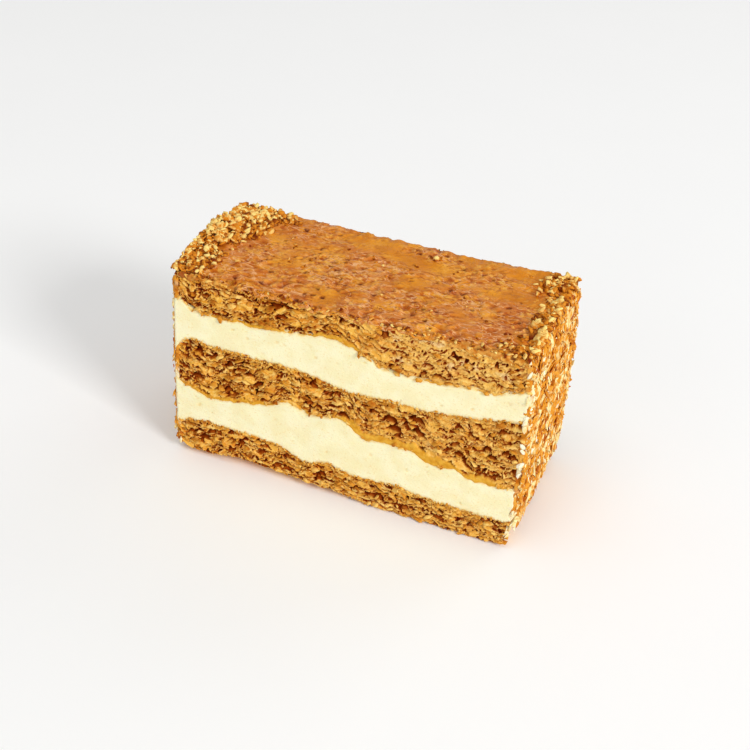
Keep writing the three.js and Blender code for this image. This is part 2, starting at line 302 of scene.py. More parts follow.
def glaze_pools(x, y):
    """Where the glaze has run together into smooth amber pools: towards the back edge."""
    towards_back = 0.45 * step(-6, 16, y)
    return step(0.0, 0.5, 0.7 * noise(x / 15 + 3, y / 9, 0, 36) + towards_back - 0.1)


def glaze_rough(x, y):
    """Where small lumps of pastry lie close under the glaze: 0 to 1."""
    middle = step(30, 8, np.hypot(x + 10, 1.3 * y))
    return step(0.0, 0.5, ripples(x, y, (0.8, 9, 7, 42)) + 0.5 * middle - 0.3 * glaze_pools(x, y))


def crest(u, v, seed):
    """Noise with sharp winding crests, a little above 0 along them and below it elsewhere."""
    return 1 - abs(noise(u, v, 0, seed)) - 0.8


def glaze_ridges(x, y):
    """Fine wrinkles of the glaze that run slantwise, as numbers up to about 0.3."""
    along = x * 0.95 + y * 0.3
    across = y * 0.95 - x * 0.3 + ripples(x, y, (1.3, 5, 5, 33), (0.5, 1.8, 1.8, 38))
    calm = mix(0.35, 1.15, step(-0.25, 0.35, noise(x / 8, y / 6, 0, 44)))
    calm = calm * mix(1.0, 0.2, glaze_pools(x, y))
    return (0.95 * crest(along / 4.2, across / 2.1, 34) + 0.4 * crest(along / 1.9, across, 35)) * calm


def glaze_knobs(x, y):
    """Small lumps of pastry that lift the glaze: 0 to 1 towards the middle of each."""
    bent = x + ripples(x, y, (0.5, 1.3, 1.3, 41))
    wall, name, _, _ = cells(bent / 1.7, y / 1.5, 76)
    share = mix(0.05, 0.5, glaze_rough(x, y))
    return (spread(name, 3) < share) * step(0.02, 0.4, wall) * (0.5 + 0.5 * spread(name, 4))


def glaze_pits(x, y):
    """Small sharp pits in the glaze: 0 to 1."""
    bent = x + ripples(x, y, (0.4, 0.9, 0.9, 43))
    wall, name, _, _ = cells(bent / 2.0, y / 1.5, 75)
    share = mix(0.05, 0.2, glaze_rough(x, y))
    return (spread(name, 1) < share) * step(0.35, 0.7, wall)


# How far the top swells: under the crumbs of the left end, and towards the right and the back.
MOUND = 1.5
BACK_SWELL = 0.6
KNOB_HEIGHT = 0.26
PIT_DEPTH = 0.55
POOL_DEPTH = 0.1


def glaze_top(x, y):
    """The top of the glaze: swells and wrinkles, calmer in the pools, with lumps and pits."""
    swell = ripples(x, y, (0.3, 14, 12, 31), (0.25, 5, 4, 32)) - 0.45
    swell = swell + BACK_SWELL * step(10, 30, x) * step(8, 20, y)
    swell = swell + BACK_SWELL * step(32, 40, x) * step(10, 18, y)
    hill = step(-37, -42, x) * step(-48, -45, x) * step(-13, -2, y) * step(13, 4, y)
    near_edge = step(HALF_DEPTH - 7, HALF_DEPTH - 1, abs(y))
    lumps = near_edge * ripples(x, y, (0.5, 3.8, 4, 39), (0.25, 1.6, 3, 40))
    small = KNOB_HEIGHT * glaze_knobs(x, y) - PIT_DEPTH * glaze_pits(x, y)
    small = small - POOL_DEPTH * glaze_pools(x, y)
    return GLAZE_LEVEL + swell + MOUND * hill + glaze_ridges(x, y) + lumps + small


def glaze_bare(x, y):
    """Where the glaze gives out and baked pastry shows: by the front edge and the right end."""
    ragged = ripples(x, y, (0.9, 2.3, 1.7, 46), (0.5, 0.9, 0.9, 47))
    front = bare_front(x) - (y + HALF_DEPTH) + ragged
    right = x - BARE_RIGHT + ragged
    return step(-0.4, 0.5, np.maximum(front, right))


# ---- meshes

def add_piece(name, points, faces, marks, material, slot, *replaced):
    """A mesh piece from points in millimetres. marks holds a number for each point, by name."""
    mesh = bpy.data.meshes.new(name)
    sides = faces.shape[1]
    mesh.vertices.add(len(points))
    mesh.vertices.foreach_set("co", (points * MM).astype(np.float32).ravel())
    mesh.loops.add(faces.size)
    mesh.loops.foreach_set("vertex_index", faces.astype(np.int32).ravel())
    mesh.polygons.add(len(faces))
    mesh.polygons.foreach_set("loop_start", np.arange(0, faces.size, sides, dtype=np.int32))
    mesh.update(calc_edges=True)
    mesh.validate()
    mesh.polygons.foreach_set("use_smooth", np.full(len(mesh.polygons), True))
    for mark, values in marks.items():
        layer = mesh.attributes.new(mark, "FLOAT", "POINT")
        layer.data.foreach_set("value", np.asarray(values, np.float32))
    mesh.materials.append(material)
    piece = bpy.data.objects.new(name, mesh)
    bpy.context.scene.collection.objects.link(piece)
    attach(piece, "root")
    if replaced:
        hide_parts(*replaced)


def quads(grid, flip=False):
    """The four corners of each cell of a grid of point numbers."""
    corners = [grid[:-1, :-1], grid[1:, :-1], grid[1:, 1:], grid[:-1, 1:]]
    if flip:
        corners.reverse()
    return columns(*(c.ravel() for c in corners))


def box_surface(nx, rows, nz):
    """The skin of a box of cells: each point's steps along, across and up, and the faces."""
    number = np.full((nx + 1, len(rows), nz + 1), -1)
    skin = np.ones(number.shape, bool)
    skin[1:-1, 1:-1, 1:-1] = False
    number[skin] = np.arange(skin.sum())
    i, j, k = np.nonzero(skin)
    faces = [
        quads(number[:, 0, :]), quads(number[:, -1, :], True), quads(number[:, :, -1]),
        quads(number[:, :, 0], True), quads(number[-1, :, :]), quads(number[0, :, :], True),
    ]
    return i, j, k, np.concatenate(faces)


# How far a layer laps past its neighbours, and how the ends of its cut faces lie.
SEAM_LAP = 0.6
SEAM_GROOVE = 0.5
GROOVE_WIDTH = 0.9
END_INSET = 1.0
FACE_END_LEFT = 46.5
FACE_END_RIGHT = 44.8
END_WOBBLE = 0.55
# The rows of points from the front face of a layer to its back face.
ROWS = np.array([-1, -0.93, -0.8, -0.45, 0, 0.45, 0.8, 0.93, 1])


def layer_points(nx, nz, lower, upper, relief, lap_low=SEAM_LAP, lap_high=SEAM_LAP):
    """A layer between two surfaces, its cut faces pitted by relief(x, s, z, side). It laps past
    its neighbours and sinks away where it does, so that the two reliefs decide which of them
    shows along a seam."""
    i, j, k, faces = box_surface(nx, ROWS, nz)
    along = i / nx * 2 - 1
    across = ROWS[j]
    up = k / nz
    half_length = np.where(along < 0, FACE_END_LEFT, FACE_END_RIGHT)
    flat_x, flat_y = along * half_length, across * HALF_DEPTH
    low, high = lower(flat_x, flat_y), upper(flat_x, flat_y)
    wobble = layered(mix(low, high, up) / 3.1, along * 3, across, 91, 2)
    half_length = half_length + END_WOBBLE * wobble
    low, high = low - lap_low, high + lap_high
    z = mix(low, high, up)
    reach = np.minimum(end_face(along, flat_y, z) - END_INSET, half_length)
    x = along * mix(half_length, reach, abs(along) ** 3)
    inward = np.zeros(len(i))
    marks = {}
    for side in (-1, 1):
        face = across == side
        thick = (high - low)[face]
        rise = up[face] * thick
        from_top = thick - rise
        depth, found = relief(x[face], rise - lap_low, low[face] + rise, side)
        groove = edge_rise(rise, GROOVE_WIDTH) * (lap_low > 0)
        groove = groove + edge_rise(from_top, GROOVE_WIDTH) * (lap_high > 0)
        inward[face] = depth + SEAM_GROOVE * groove
        found["seam"] = np.maximum(edge_rise(rise - lap_low, 0.8), edge_rise(from_top - lap_high, 0.5))
        for key, values in found.items():
            marks.setdefault(key, np.zeros(len(i)))[face] = values
    return columns(x, flat_y - np.sign(across) * inward, z), faces, marks


def plates(x, s, long, tall, seed):
    """Flakes that overlap like tiles, each standing out at its lower lip: how far out, the painted
    shadow line under the lip above, the painted shade below it, the lip that gets a painted
    highlight, and a number for each flake."""
    wall, name, du, dv = cells(x / long, s / tall, seed)
    out = 0.45 * (spread(name, 1) - 0.5) - (0.55 + 0.6 * spread(name, 2)) * dv
    out = out + 0.5 * (spread(name, 3) - 0.5) * du
    deep = spread(name, 9)
    line = step(0.3, 0.06, wall) * step(0.02, 0.25, dv) * (0.35 + 0.65 * deep)
    shade = step(-0.15, 0.4, dv) * step(0.9, 0.2, wall) * deep
    lip = step(0.26, 0.05, wall) * step(0.0, -0.25, dv)
    return out, line, shade, lip, name


def slits(x, s, long, tall, width, share, seed):
    """Short slanting gaps between flakes, bowed upwards: how open each place is, and the rim of the
    flake below each, which gets a painted highlight."""
    _, name, du, dv = cells(x / long, s / tall, seed)
    slant = 1.2 * (spread(name, 11) - 0.5) + 0.35 * noise(x / 5, s / 3, 0, seed + 1)
    du, dv = du * long, dv * tall
    along = du * np.cos(slant) + dv * np.sin(slant)
    across = dv * np.cos(slant) - du * np.sin(slant)
    bowed = across + 0.35 * along * along / long
    half = 0.5 * long * (0.55 + 0.45 * spread(name, 12))
    body = (spread(name, 13) < share) * step(half, 0.6 * half, abs(along))
    opened = body * step(width, 0.45 * width, abs(bowed))
    rim = body * step(-3.0 * width, -1.8 * width, bowed) * step(-0.7 * width, -1.1 * width, bowed)
    return opened * (0.6 + 0.4 * spread(name, 14)), rim


def slit_pair(x, s, share, seed):
    """Slits of two sizes together."""
    gap, rim = slits(x, s, 3.2, 1.2, 0.24, 1.5 * share, seed)
    fine_gap, fine_rim = slits(x + 4, s, 1.5, 0.8, 0.16, 1.1 * share, seed + 1)
    return np.maximum(gap, 0.9 * fine_gap), np.maximum(rim, 0.8 * fine_rim)


def caves(x, s, share, seed):
    """Small caves under flakes: how deep each place is, most at the top of each."""
    wall, name, _, dv = cells(x / 0.95, s / 0.55, seed)
    opened = (spread(name, 7) < share) * step(0.03, 0.17, wall)
    return opened * mix(0.25, 1.0, step(-0.35, 0.3, dv)) * (0.35 + 0.6 * spread(name, 8))


def arch(along, up):
    """An arched opening whose floor slopes up and outwards, from -1 to 1 along and up: how deep
    each place is, and how much painted shade it gets, most right under the arch."""
    below = 1 - 1.5 * along ** 2 - up
    inside = step(-0.05, 0.2, below) * step(-1.3, -0.7, up)
    return inside * mix(1.0, 0.35, step(0.3, 1.7, below)), inside * mix(1.0, 0.3, step(0.1, 0.9, below))


def arches(x, s, share, seed):
    """Arched openings between flakes, scattered: how deep each place is, and how much painted shade it
    gets.
    """
    _, name, du, dv = cells(x / 3.3, s / 1.9, seed)
    size = 0.3 + 0.25 * spread(name, 21)
    lean = 0.8 * (spread(name, 22) - 0.5)
    deep, dark = arch(du / size, (dv + lean * du) / size)
    chosen = spread(name, 23) < share
    return chosen * deep * mix(0.6, 1.0, spread(name, 24)), chosen * dark


def front_hollows(x, z):
    """The named hollows: how deep each place of the front face is, and how much painted shade it gets."""
    deep = dark = np.zeros(x.shape)
    bent = ripples(x, z, (0.16, 1.1, 0.8, 144))
    for at_x, at_z, long, tall, reach in FRONT_HOLLOWS:
        up = (z - at_z + 0.12 * (x - at_x)) / tall + bent
        one_deep, one_dark = arch((x - at_x) / long + bent, up)
        deep = np.maximum(deep, reach * one_deep)
        dark = np.maximum(dark, one_dark)
    return deep, dark


def pores(x, s, kinds, seed):
    """Small round openings of the crumb, of several kinds: (depth, size, share of the cells)."""
    found = np.zeros(x.shape)
    for n, (depth, size, share) in enumerate(kinds):
        _, name, du, dv = cells((x + 5 * n) / size, s / (0.75 * size), seed + n)
        opened = (spread(name, 5) < share) * step(0.48, 0.22, np.hypot(du, dv))
        found = np.maximum(found, depth * opened * (0.4 + 0.6 * spread(name, 6)))
    return found


def flat_flakes(x, s, seed):
    """Broad flat flakes over the finer ones: where they are, how far in they lie, their tone."""
    wall, name, du, dv = cells(x / 3.0, s / 1.6, seed)
    there = (spread(name, 1) < 0.22) * step(0.03, 0.12, wall)
    plane = 0.22 + 0.3 * spread(name, 2) + 0.5 * dv + 0.3 * (spread(name, 3) - 0.5) * du
    return there, plane, spread(name, 4)


def syrup(x, s, film, seed):
    """The film of syrup at a sheet's foot: where it lies and how far in its smooth face is."""
    top = film(x) * (0.9 + 0.5 * noise(x / 2.2, 0, 0, seed)) + ripples(x, s, (0.3, 0.9, 0.6, seed + 1))
    lies = step(top + 0.3, top - 0.2, s) * step(0.1, 0.4, film(x))
    return lies, 0.1 + ripples(x, s, (0.2, 1.8, 0.8, seed + 2))


BACK_SEEDS = 200
CRUMB_PORES = ((0.95, 1.25, 0.4), (0.7, 0.75, 0.3))
BARE_PORES = ((1.0, 1.3, 0.4), (0.7, 0.8, 0.35))


def pastry_relief(sheet):
    """Cut puff pastry: overlapping flakes in wavy strata with openings among them, and a fine
    crumb where the sheet is porous."""
    deep = sheet["deep"]

    def openings(x, z, side, bent_x, bent_s, crumb, seed):
        """How deep the gaps, caves, pores and arches of each place are, and what marks them."""
        share = sheet["open"](x)
        gap, rim = slit_pair(bent_x, bent_s, share, seed + 12)
        holes = pores(bent_x, bent_s, CRUMB_PORES, seed + 14)
        hollow = np.maximum(caves(bent_x, bent_s + 9, 0.8 * share, seed + 9), 0.95 * gap)
        hollow = mix(hollow, np.maximum(holes, 0.5 * hollow), crumb)
        wide, dark = arches(bent_x + 3, bent_s + 3, 1.2 * share * (1 - crumb), seed + 8)
        wide = wide * 0.85 * deep
        if side < 0:
            named, named_dark = front_hollows(x, z)
            wide, dark = np.maximum(wide, named), np.maximum(dark, named_dark)
        arched = step(0.1, 0.4, dark)
        return np.maximum(hollow * (1 - arched), wide), gap, rim, holes, dark, arched

    def relief(x, s, z, side):
        seed = sheet["seed"] + (BACK_SEEDS if side > 0 else 0)
        bent_x = x + ripples(x, s, (1.3, 4, 2.2, seed + 1), (0.5, 1.3, 0.9, seed + 2))
        bent_s = s + ripples(x, s, (0.8, 3.6, 2.2, seed + 3), (0.3, 1.1, 0.7, seed + 4))
        crumb = sheet["porous"](x, s)
        big, big_line, big_shade, big_lip, big_name = plates(bent_x, bent_s, 3.1, 1.25, seed + 5)
        small, small_line, small_shade, small_lip, small_name = plates(bent_x, bent_s, 1.5, 0.66, seed + 6)
        fine = layered(x / 0.6, s / 0.45, 0, seed + 7, 2)
        hollow, gap, rim, holes, dark, arched = openings(x, z, side, bent_x, bent_s, crumb, seed)
        _, _, bump_u, bump_v = cells(x / 0.85, s / 0.7, seed + 10)
        knobs = 0.22 - 0.5 * np.hypot(bump_u, bump_v)
        solid = 0.5 - 0.8 * big - 0.34 * small - 0.3 * knobs + 0.06 * fine + 0.2 * big_line - 0.12 * rim
        solid = mix(solid, 0.4 - 0.3 * big - 0.5 * knobs + 0.12 * fine, 0.8 * crumb)
        flat, plane, flat_tone = flat_flakes(bent_x, bent_s, seed + 11)
        flat = flat * (1 - 0.7 * crumb)
        solid = mix(solid, plane, flat)
        flat = flat * (1 - arched)
        hollow = hollow * (1 - flat)
        inward = np.clip(np.maximum(solid, hollow + 0.3 * solid), 0.02, deep + 0.4)
        strata = (1 - flat) * (1 - 0.65 * crumb)
        line = np.maximum(big_line, 0.6 * small_line) * strata
        # Painted shade in the gaps, caves, pores and arches, and in the shadow lines under the lips.
        cavity = np.maximum(np.maximum(hollow / deep, 0.7 * line), gap * (1 - flat) * (1 - 0.5 * crumb))
        cavity = np.maximum(cavity, crumb * step(0.3, 0.8, holes) * 0.8)
        cavity = mix(cavity, dark, arched)
        # A painted highlight on the lips and on the rims below the slits.
        edge = np.maximum(np.maximum(big_lip, 0.6 * small_lip), rim * (1 - flat))
        edge = edge * (1 - step(0.15, 0.5, hollow)) * (1 - line)
        tone = mix(spread(big_name, 6), spread(small_name, 6), 0.35) * 2 - 1
        tone = mix(tone, flat_tone, flat) * (1 - 0.5 * crumb)
        film, smooth = syrup(x, s, sheet["film"], seed + 20)
        return mix(inward, smooth, 0.9 * film), {
            "cavity": np.clip(cavity * (1 - 0.93 * film), 0, 1),
            "shade": np.maximum(big_shade, 0.5 * small_shade) * strata * (1 - 0.85 * film),
            "edge": edge * (1 - 0.7 * film),
            "tone": tone * (1 - 0.7 * film),
            "film": film,
            "crumb": crumb,
        }

    return relief


def cream_relief(seed):
    """Knife-smoothed cream: slow waves, fine drag and a few pricks."""

    def relief(x, s, z, side):
        wave = ripples(x, s, (0.07, 7, 4, seed + side))
        drag = 0.035 * layered(x / 1.2, s / 0.7, 0, seed + 3 + side, 2)
        wall, name, _, _ = cells(x / 1.7, s / 1.5, seed + 9 + side)
        prick = (spread(name, 1) < 0.16) * step(0.55, 0.8, wall)
        # The pricks also get painted shade.
        return 0.16 + wave + drag + 0.16 * prick, {"cavity": prick}

    return relief


# ---- flakes

FLAKE_SIDES = 6
FLAKE_CURL = 0.35
FLAKE_WARP = 0.05
RIM_TONE = 0.22
TONE_GRAIN = 0.22
GRAIN_WANDER = 0.35

# Kinds of flake: thickness in mm and as a share of the size, width as a share of the length, how
# far the middle is domed and how uneven the outline is.
SHRED = {"thickness": 0.18, "plump": 0.0, "narrow": 0.46, "dome": 0.12, "uneven": 0.34}
CRUMB = {"thickness": 0.2, "plump": 0.17, "narrow": 0.78, "dome": 0.2, "uneven": 0.24}
CHIP = {"thickness": 0.18, "plump": 0.06, "narrow": 0.74, "dome": 0.18, "uneven": 0.26}
SHARD = {"thickness": 0.1, "plump": 0.0, "narrow": 0.5, "dome": 0.04, "uneven": 0.34}


def frames(normals, grain):
    """Two directions at right angles to each normal, the first near the grain, if there is one."""
    normals = normals / np.linalg.norm(normals, axis=1)[:, None]
    first = random.normal(size=normals.shape)
    if grain is not None:
        first = grain + GRAIN_WANDER * first
    first = first - (first * normals).sum(1)[:, None] * normals
    first /= np.linalg.norm(first, axis=1)[:, None]
    return normals, first, np.cross(normals, first)


def repeated(faces, each, count):
    """The faces of one small form, for count such forms of this many points each."""
    faces = np.array(faces)
    return (faces[None] + (np.arange(count) * each)[:, None, None]).reshape(-1, faces.shape[1])


def flake_faces():
    """The triangles of one flake: its top, its underside and its rim."""
    top = np.arange(FLAKE_SIDES)
    after = (top + 1) % FLAKE_SIDES
    low, low_after = top + FLAKE_SIDES + 1, after + FLAKE_SIDES + 1
    return np.concatenate([
        columns(top, after, FLAKE_SIDES), columns(low_after, low, 2 * FLAKE_SIDES + 1),
        columns(after, top, low), columns(after, low, low_after),
    ])


def flakes(places, normals, sizes, kind, grain=None, tone=None):
    """Flakes with uneven outlines, each closed, lying across its normal."""
    count = len(places)
    normals, first, second = frames(normals, grain)
    turn = np.arange(FLAKE_SIDES) / FLAKE_SIDES * 2 * np.pi
    turn = turn + random.uniform(-0.3, 0.3, (count, FLAKE_SIDES))
    uneven = random.uniform(1 - kind["uneven"], 1 + kind["uneven"], (count, FLAKE_SIDES))
    size = sizes[:, None]
    radius = size * uneven / 2
    squeeze = random.uniform(0.8, 1.2, (count, 1)) * kind["narrow"]
    a = radius * np.cos(turn)
    b = radius * np.sin(turn) * squeeze
    bend = random.normal(0, FLAKE_CURL, (count, 1)) / size
    lift = bend * a * a - 0.5 * bend * b * b + random.normal(0, FLAKE_WARP, a.shape) * size
    half = (kind["thickness"] + kind["plump"] * size) * random.uniform(0.6, 1.4, (count, 1)) / 2
    dome = kind["dome"] * random.uniform(0.3, 1.5, (count, 1)) * size
    rings = []
    for level, swell in ((half, dome), (-half, -0.3 * dome)):
        rim = places[:, None] + a[..., None] * first[:, None] + b[..., None] * second[:, None]
        rim = rim + (lift + level)[..., None] * normals[:, None]
        middle = places + (level + swell) * normals
        rings += [rim, middle[:, None]]
    points = np.concatenate(rings, 1)
    each = points.shape[1]
    if tone is None:
        tone = random.uniform(-1, 1, count)
    rim_tone = np.tile(np.append(np.full(FLAKE_SIDES, RIM_TONE), -RIM_TONE), 2)
    tones = tone[:, None] + rim_tone + random.normal(0, TONE_GRAIN, (count, each))
    return points.reshape(-1, 3), repeated(flake_faces(), each, count), tones.ravel()


def join(lots):
    """Several lots of (points, faces, tone) as one."""
    points, faces, tones, offset = [], [], [], 0
    for p, f, t in lots:
        points.append(p)
        faces.append(f + offset)
        tones.append(t)
        offset += len(p)
    return np.concatenate(points), np.concatenate(faces), np.concatenate(tones)


def add_flakes(name, lots, material, slot):
    """One piece from several lots of flakes or strips."""
    points, faces, tone = join(lots)
    add_piece(name, points, faces, {"tone": tone}, material, slot)


# ---- materials

EVEN = (1, 1, 1)


def linear(colour):
    """A screen colour of 0 to 255, as shaders take it."""
    shares = [c / 255 for c in colour]
    return (*(c / 12.92 if c <= 0.04045 else ((c + 0.055) / 1.055) ** 2.4 for c in shares), 1.0)


class Shader:
    """A material's node tree, whose base colour is built up coat by coat."""

    def __init__(self, name, settings):
        self.material = bpy.data.materials.new(name)
        self.material.use_nodes = True
        self.tree = self.material.node_tree
        self.surface = self.tree.nodes["Principled BSDF"]
        for key, value in settings.items():
            self.surface.inputs[key].default_value = value
        self.place = self.node("ShaderNodeTexCoord").outputs["Object"]

    def node(self, kind, **settings):
        made = self.tree.nodes.new(kind)
        for key, value in settings.items():
            setattr(made, key, value)
        return made

    def feed(self, socket, value):
        if isinstance(value, bpy.types.NodeSocket):
            self.tree.links.new(value, socket)
        else:
            socket.default_value = value

    def mark(self, name):
        """The number that the mesh holds under this name."""
        return self.node("ShaderNodeAttribute", attribute_name=name).outputs["Fac"]

    def noise(self, size, detail=2.0, stretch=EVEN, distortion=0.0):
        """Noise from 0 to 1 whose features are about size millimetres."""
        spread_out = self.node("ShaderNodeMapping")
        self.feed(spread_out.inputs["Vector"], self.place)
        self.feed(spread_out.inputs["Scale"], stretch)
        made = self.node("ShaderNodeTexNoise")
        self.feed(made.inputs["Vector"], spread_out.outputs[0])
        self.feed(made.inputs["Scale"], 1 / (size * MM))
        self.feed(made.inputs["Detail"], detail)
        self.feed(made.inputs["Distortion"], distortion)
        return made.outputs["Fac"]

    def math(self, operation, a, b=0.0):
        made = self.node("ShaderNodeMath", operation=operation)
        self.feed(made.inputs[0], a)
        self.feed(made.inputs[1], b)
        return made.outputs[0]

    def times(self, a, b):
        return self.math("MULTIPLY", a, b)

    def between(self, value, low, high, to_low=0.0, to_high=1.0):
        """to_low where the value is low, to_high where it is high, and smooth between them."""
        made = self.node("ShaderNodeMapRange", interpolation_type="SMOOTHSTEP")
        self.feed(made.inputs["Value"], value)
        for key, number in zip(("From Min", "From Max", "To Min", "To Max"), (low, high, to_low, to_high)):
            self.feed(made.inputs[key], number)
        return made.outputs[0]

    def patches(self, share, low, high, *grain, least=0.0):
        """Patches of noise, whose grain is (size, detail, stretch, distortion): least to share."""
        return self.between(self.noise(*grain), low, high, least, share)

    def lines(self, share, level, width, size, stretch):
        """Thin winding lines along one level of a noise: 0 to share."""
        off = self.math("SUBTRACT", self.noise(size, 4, stretch, 0.8), level)
        return self.between(self.math("ABSOLUTE", off), width, 0.0, 0.0, share)

    def ramp(self, value, *stops):
        made = self.node("ShaderNodeValToRGB")
        band = made.color_ramp
        while len(band.elements) < len(stops):
            band.elements.new(0.5)
        for element, (at, colour) in zip(band.elements, stops):
            element.position = at
            element.color = linear(colour)
        self.feed(made.inputs[0], value)
        return made.outputs["Color"]

    def paint(self, share, colour, kind="MIX"):
        """Covers the base colour with another one, by a share of 0 to 1 at each place."""
        made = self.node("ShaderNodeMix", data_type="RGBA", blend_type=kind)
        self.feed(made.inputs[0], share)
        self.feed(made.inputs[6], self.base)
        self.feed(made.inputs[7], linear(colour) if isinstance(colour, tuple) else colour)
        self.base = made.outputs[2]

    def paint_mark(self, name, share, colour):
        self.paint(self.times(self.mark(name), share), colour)

    def paint_tone(self, light_share, light, dark_share, dark):
        """Lightens where the tone mark is over 0, and darkens where it is under 0."""
        self.paint(self.between(self.mark("tone"), 0.0, 1.0, 0.0, light_share), light)
        self.paint(self.between(self.mark("tone"), 0.0, -1.0, 0.0, dark_share), dark)

    def finish(self, depth, *grain):
        """The material, with its base colour and a fine bump of this depth and grain."""
        self.feed(self.surface.inputs["Base Color"], self.base)
        made = self.node("ShaderNodeBump")
        self.feed(made.inputs["Distance"], depth * MM)
        self.feed(made.inputs["Height"], self.noise(*grain))
        self.feed(self.surface.inputs["Normal"], made.outputs[0])
        return self.material


def pastry_material():
    s = Shader("cut_pastry", {"Roughness": 0.62, "Specular IOR Level": 0.04})
    s.base = s.ramp(s.noise(1.4, 3, (1, 1, 1.5)), (0.36, (232, 158, 40)), (0.64, (248, 188, 76)))
    s.paint(s.patches(0.4, 0.4, 0.68, 3.2, 2, (1, 1, 1.6)), (232, 152, 38), "MULTIPLY")
    s.paint_tone(0.45, (242, 190, 90), 0.5, (194, 110, 18))
    s.paint_mark("light", 0.55, (238, 188, 96))
    # Painted shade below the lips, then a painted highlight on the lips and rims.
    s.paint_mark("shade", 0.85, (160, 66, 6))
    s.paint_mark("edge", 0.75, (255, 216, 128))
    crumb = s.mark("crumb")
    s.paint(s.times(s.patches(0.6, 0.4, 0.64, 1.6, 4), crumb), (236, 190, 106))
    s.paint(s.times(s.patches(0.45, 0.55, 0.66, 3.4, 3), crumb), (250, 224, 172))
    s.paint(s.patches(0.4, 0.6, 0.72, 0.5, 3), (156, 80, 10))
    # Painted shade in the openings, darker the deeper they are.
    cavity = s.mark("cavity")
    dark = s.ramp(
        cavity, (0.0, (190, 96, 14)), (0.4, (138, 50, 2)), (0.75, (86, 24, 0)), (1.0, (46, 8, 0)),
    )
    s.paint(s.between(cavity, 0.02, 0.36), dark)
    s.paint_mark("film", 0.9, s.ramp(s.noise(1.6, 3), (0.35, (212, 144, 30)), (0.65, (234, 178, 64))))
    return s.finish(0.12, 0.35, 4, (1, 1, 1.5))


def coat_material():
    """Packed crumbs, with the cream that holds them showing where the cream mark is high."""
    s = Shader("coat_ground", {"Roughness": 0.58, "Specular IOR Level": 0.05})
    # Painted shade: the base darkens under the lips of the crumbs.
    s.base = s.ramp(s.mark("cavity"), (0.0, (226, 150, 44)), (0.4, (200, 112, 22)), (1.0, (138, 58, 4)))
    s.paint_tone(0.5, (242, 188, 92), 0.5, (194, 98, 16))
    s.paint(s.patches(0.4, 0.6, 0.72, 0.6, 3), (162, 76, 8))
    s.paint(s.mark("cream"), (253, 240, 196))
    return s.finish(0.08, 0.3, 4)


def flake_material(name, roughness, dark, middle, light):
    s = Shader(name, {"Roughness": roughness, "Specular IOR Level": 0.07})
    mottle = s.times(s.math("SUBTRACT", s.noise(0.7, 3), 0.5), 1.6)
    value = s.between(s.math("ADD", s.mark("tone"), mottle), -1.25, 1.25)
    s.base = s.ramp(value, (0.0, dark), (0.32, middle), (0.62, middle), (1.0, light))
    return s.finish(0.05, 0.22, 3)


def glaze_material():
    s = Shader("caramel_glaze", {"Specular IOR Level": 0.11, "Coat Weight": 0.1, "Coat Roughness": 0.1})
    broad = s.noise(8, 3, (1, 1.2, 1), 0.6)
    s.base = s.ramp(broad, (0.32, (190, 94, 8)), (0.5, (214, 126, 22)), (0.66, (238, 160, 44)))
    dry = s.math("SUBTRACT", 1.0, s.mark("pool"))
    # Painted sheen in broad patches outside the pools.
    sheen_patches = s.patches(0.6, 0.44, 0.58, 6.5, 4, (0.7, 1.2, 1), 1.0)
    s.paint(s.times(sheen_patches, dry), (208, 126, 62))
    # Painted sheen on the ridges.
    s.paint_mark("ridge_sheen", 0.4, (226, 152, 84))
    s.paint(s.patches(0.8, 0.54, 0.64, 2.6, 5, (1, 1.3, 1), 0.8), (166, 72, 2))
    busy = s.patches(1.0, 0.42, 0.6, 9, least=0.1)
    s.paint(s.times(s.patches(0.7, 0.5, 0.62, 1.1, 5, (1, 1.3, 1), 0.5), busy), (170, 80, 4))
    s.paint(s.times(s.patches(0.75, 0.54, 0.64, 1.6, 5, (1, 1.4, 1), 0.8), busy), (242, 182, 80))
    cracked = s.patches(1.0, 0.42, 0.6, 6)
    s.paint(s.times(s.lines(0.9, 0.5, 0.026, 2.4, (0.8, 1.6, 1)), cracked), (132, 48, 2))
    # Thin lines of painted sheen outside the pools.
    s.paint(s.times(s.lines(0.8, 0.52, 0.03, 3.1, (0.7, 1.5, 1)), dry), (240, 184, 130))
    s.paint_mark("pool", 0.5, (222, 142, 24))
    # Painted shade in the dips.
    s.paint_mark("dip_shade", 0.75, (158, 68, 4))
    s.paint_mark("knob", 0.4, (236, 172, 64))
    s.paint_mark("bare", 0.85, s.ramp(s.noise(1.2, 4), (0.38, (196, 112, 22)), (0.62, (232, 172, 78))))
    # Painted shade in the pits and pores.
    s.paint_mark("pit_shade", 0.9, (96, 34, 2))
    # Painted shade under the crumb band.
    s.paint_mark("band", 0.85, (150, 64, 6))
    rough = s.patches(0.46, 0.3, 0.7, 3, least=0.26)
    s.feed(s.surface.inputs["Roughness"], s.math("MAXIMUM", rough, s.times(s.mark("bare"), 0.7)))
    return s.finish(0.2, 0.8, 4, (1, 1.4, 1), 0.4)


def cream_material():
    s = Shader("custard_cream", {
        "Roughness": 0.55, "Specular IOR Level": 0.2, "Subsurface Weight": 0.25,
        "Subsurface Radius": (1.0, 0.8, 0.4), "Subsurface Scale": 1.2 * MM,
    })
    s.base = linear((250, 238, 190))
    s.paint(s.patches(1.0, 0.35, 0.65, 5), (254, 245, 204))
    s.paint(s.patches(0.5, 0.58, 0.7, 0.5, 3, (1, 1, 1.3)), (240, 210, 130))
    # Painted shade in the pricks.
    s.paint_mark("cavity", 0.45, (236, 200, 112))
    s.paint(s.times(s.mark("seam"), s.patches(0.9, 0.35, 0.65, 1.5, 3, least=0.2)), (244, 204, 112))
    return s.finish(0.12, 0.5, 5, (1, 1, 1.4))


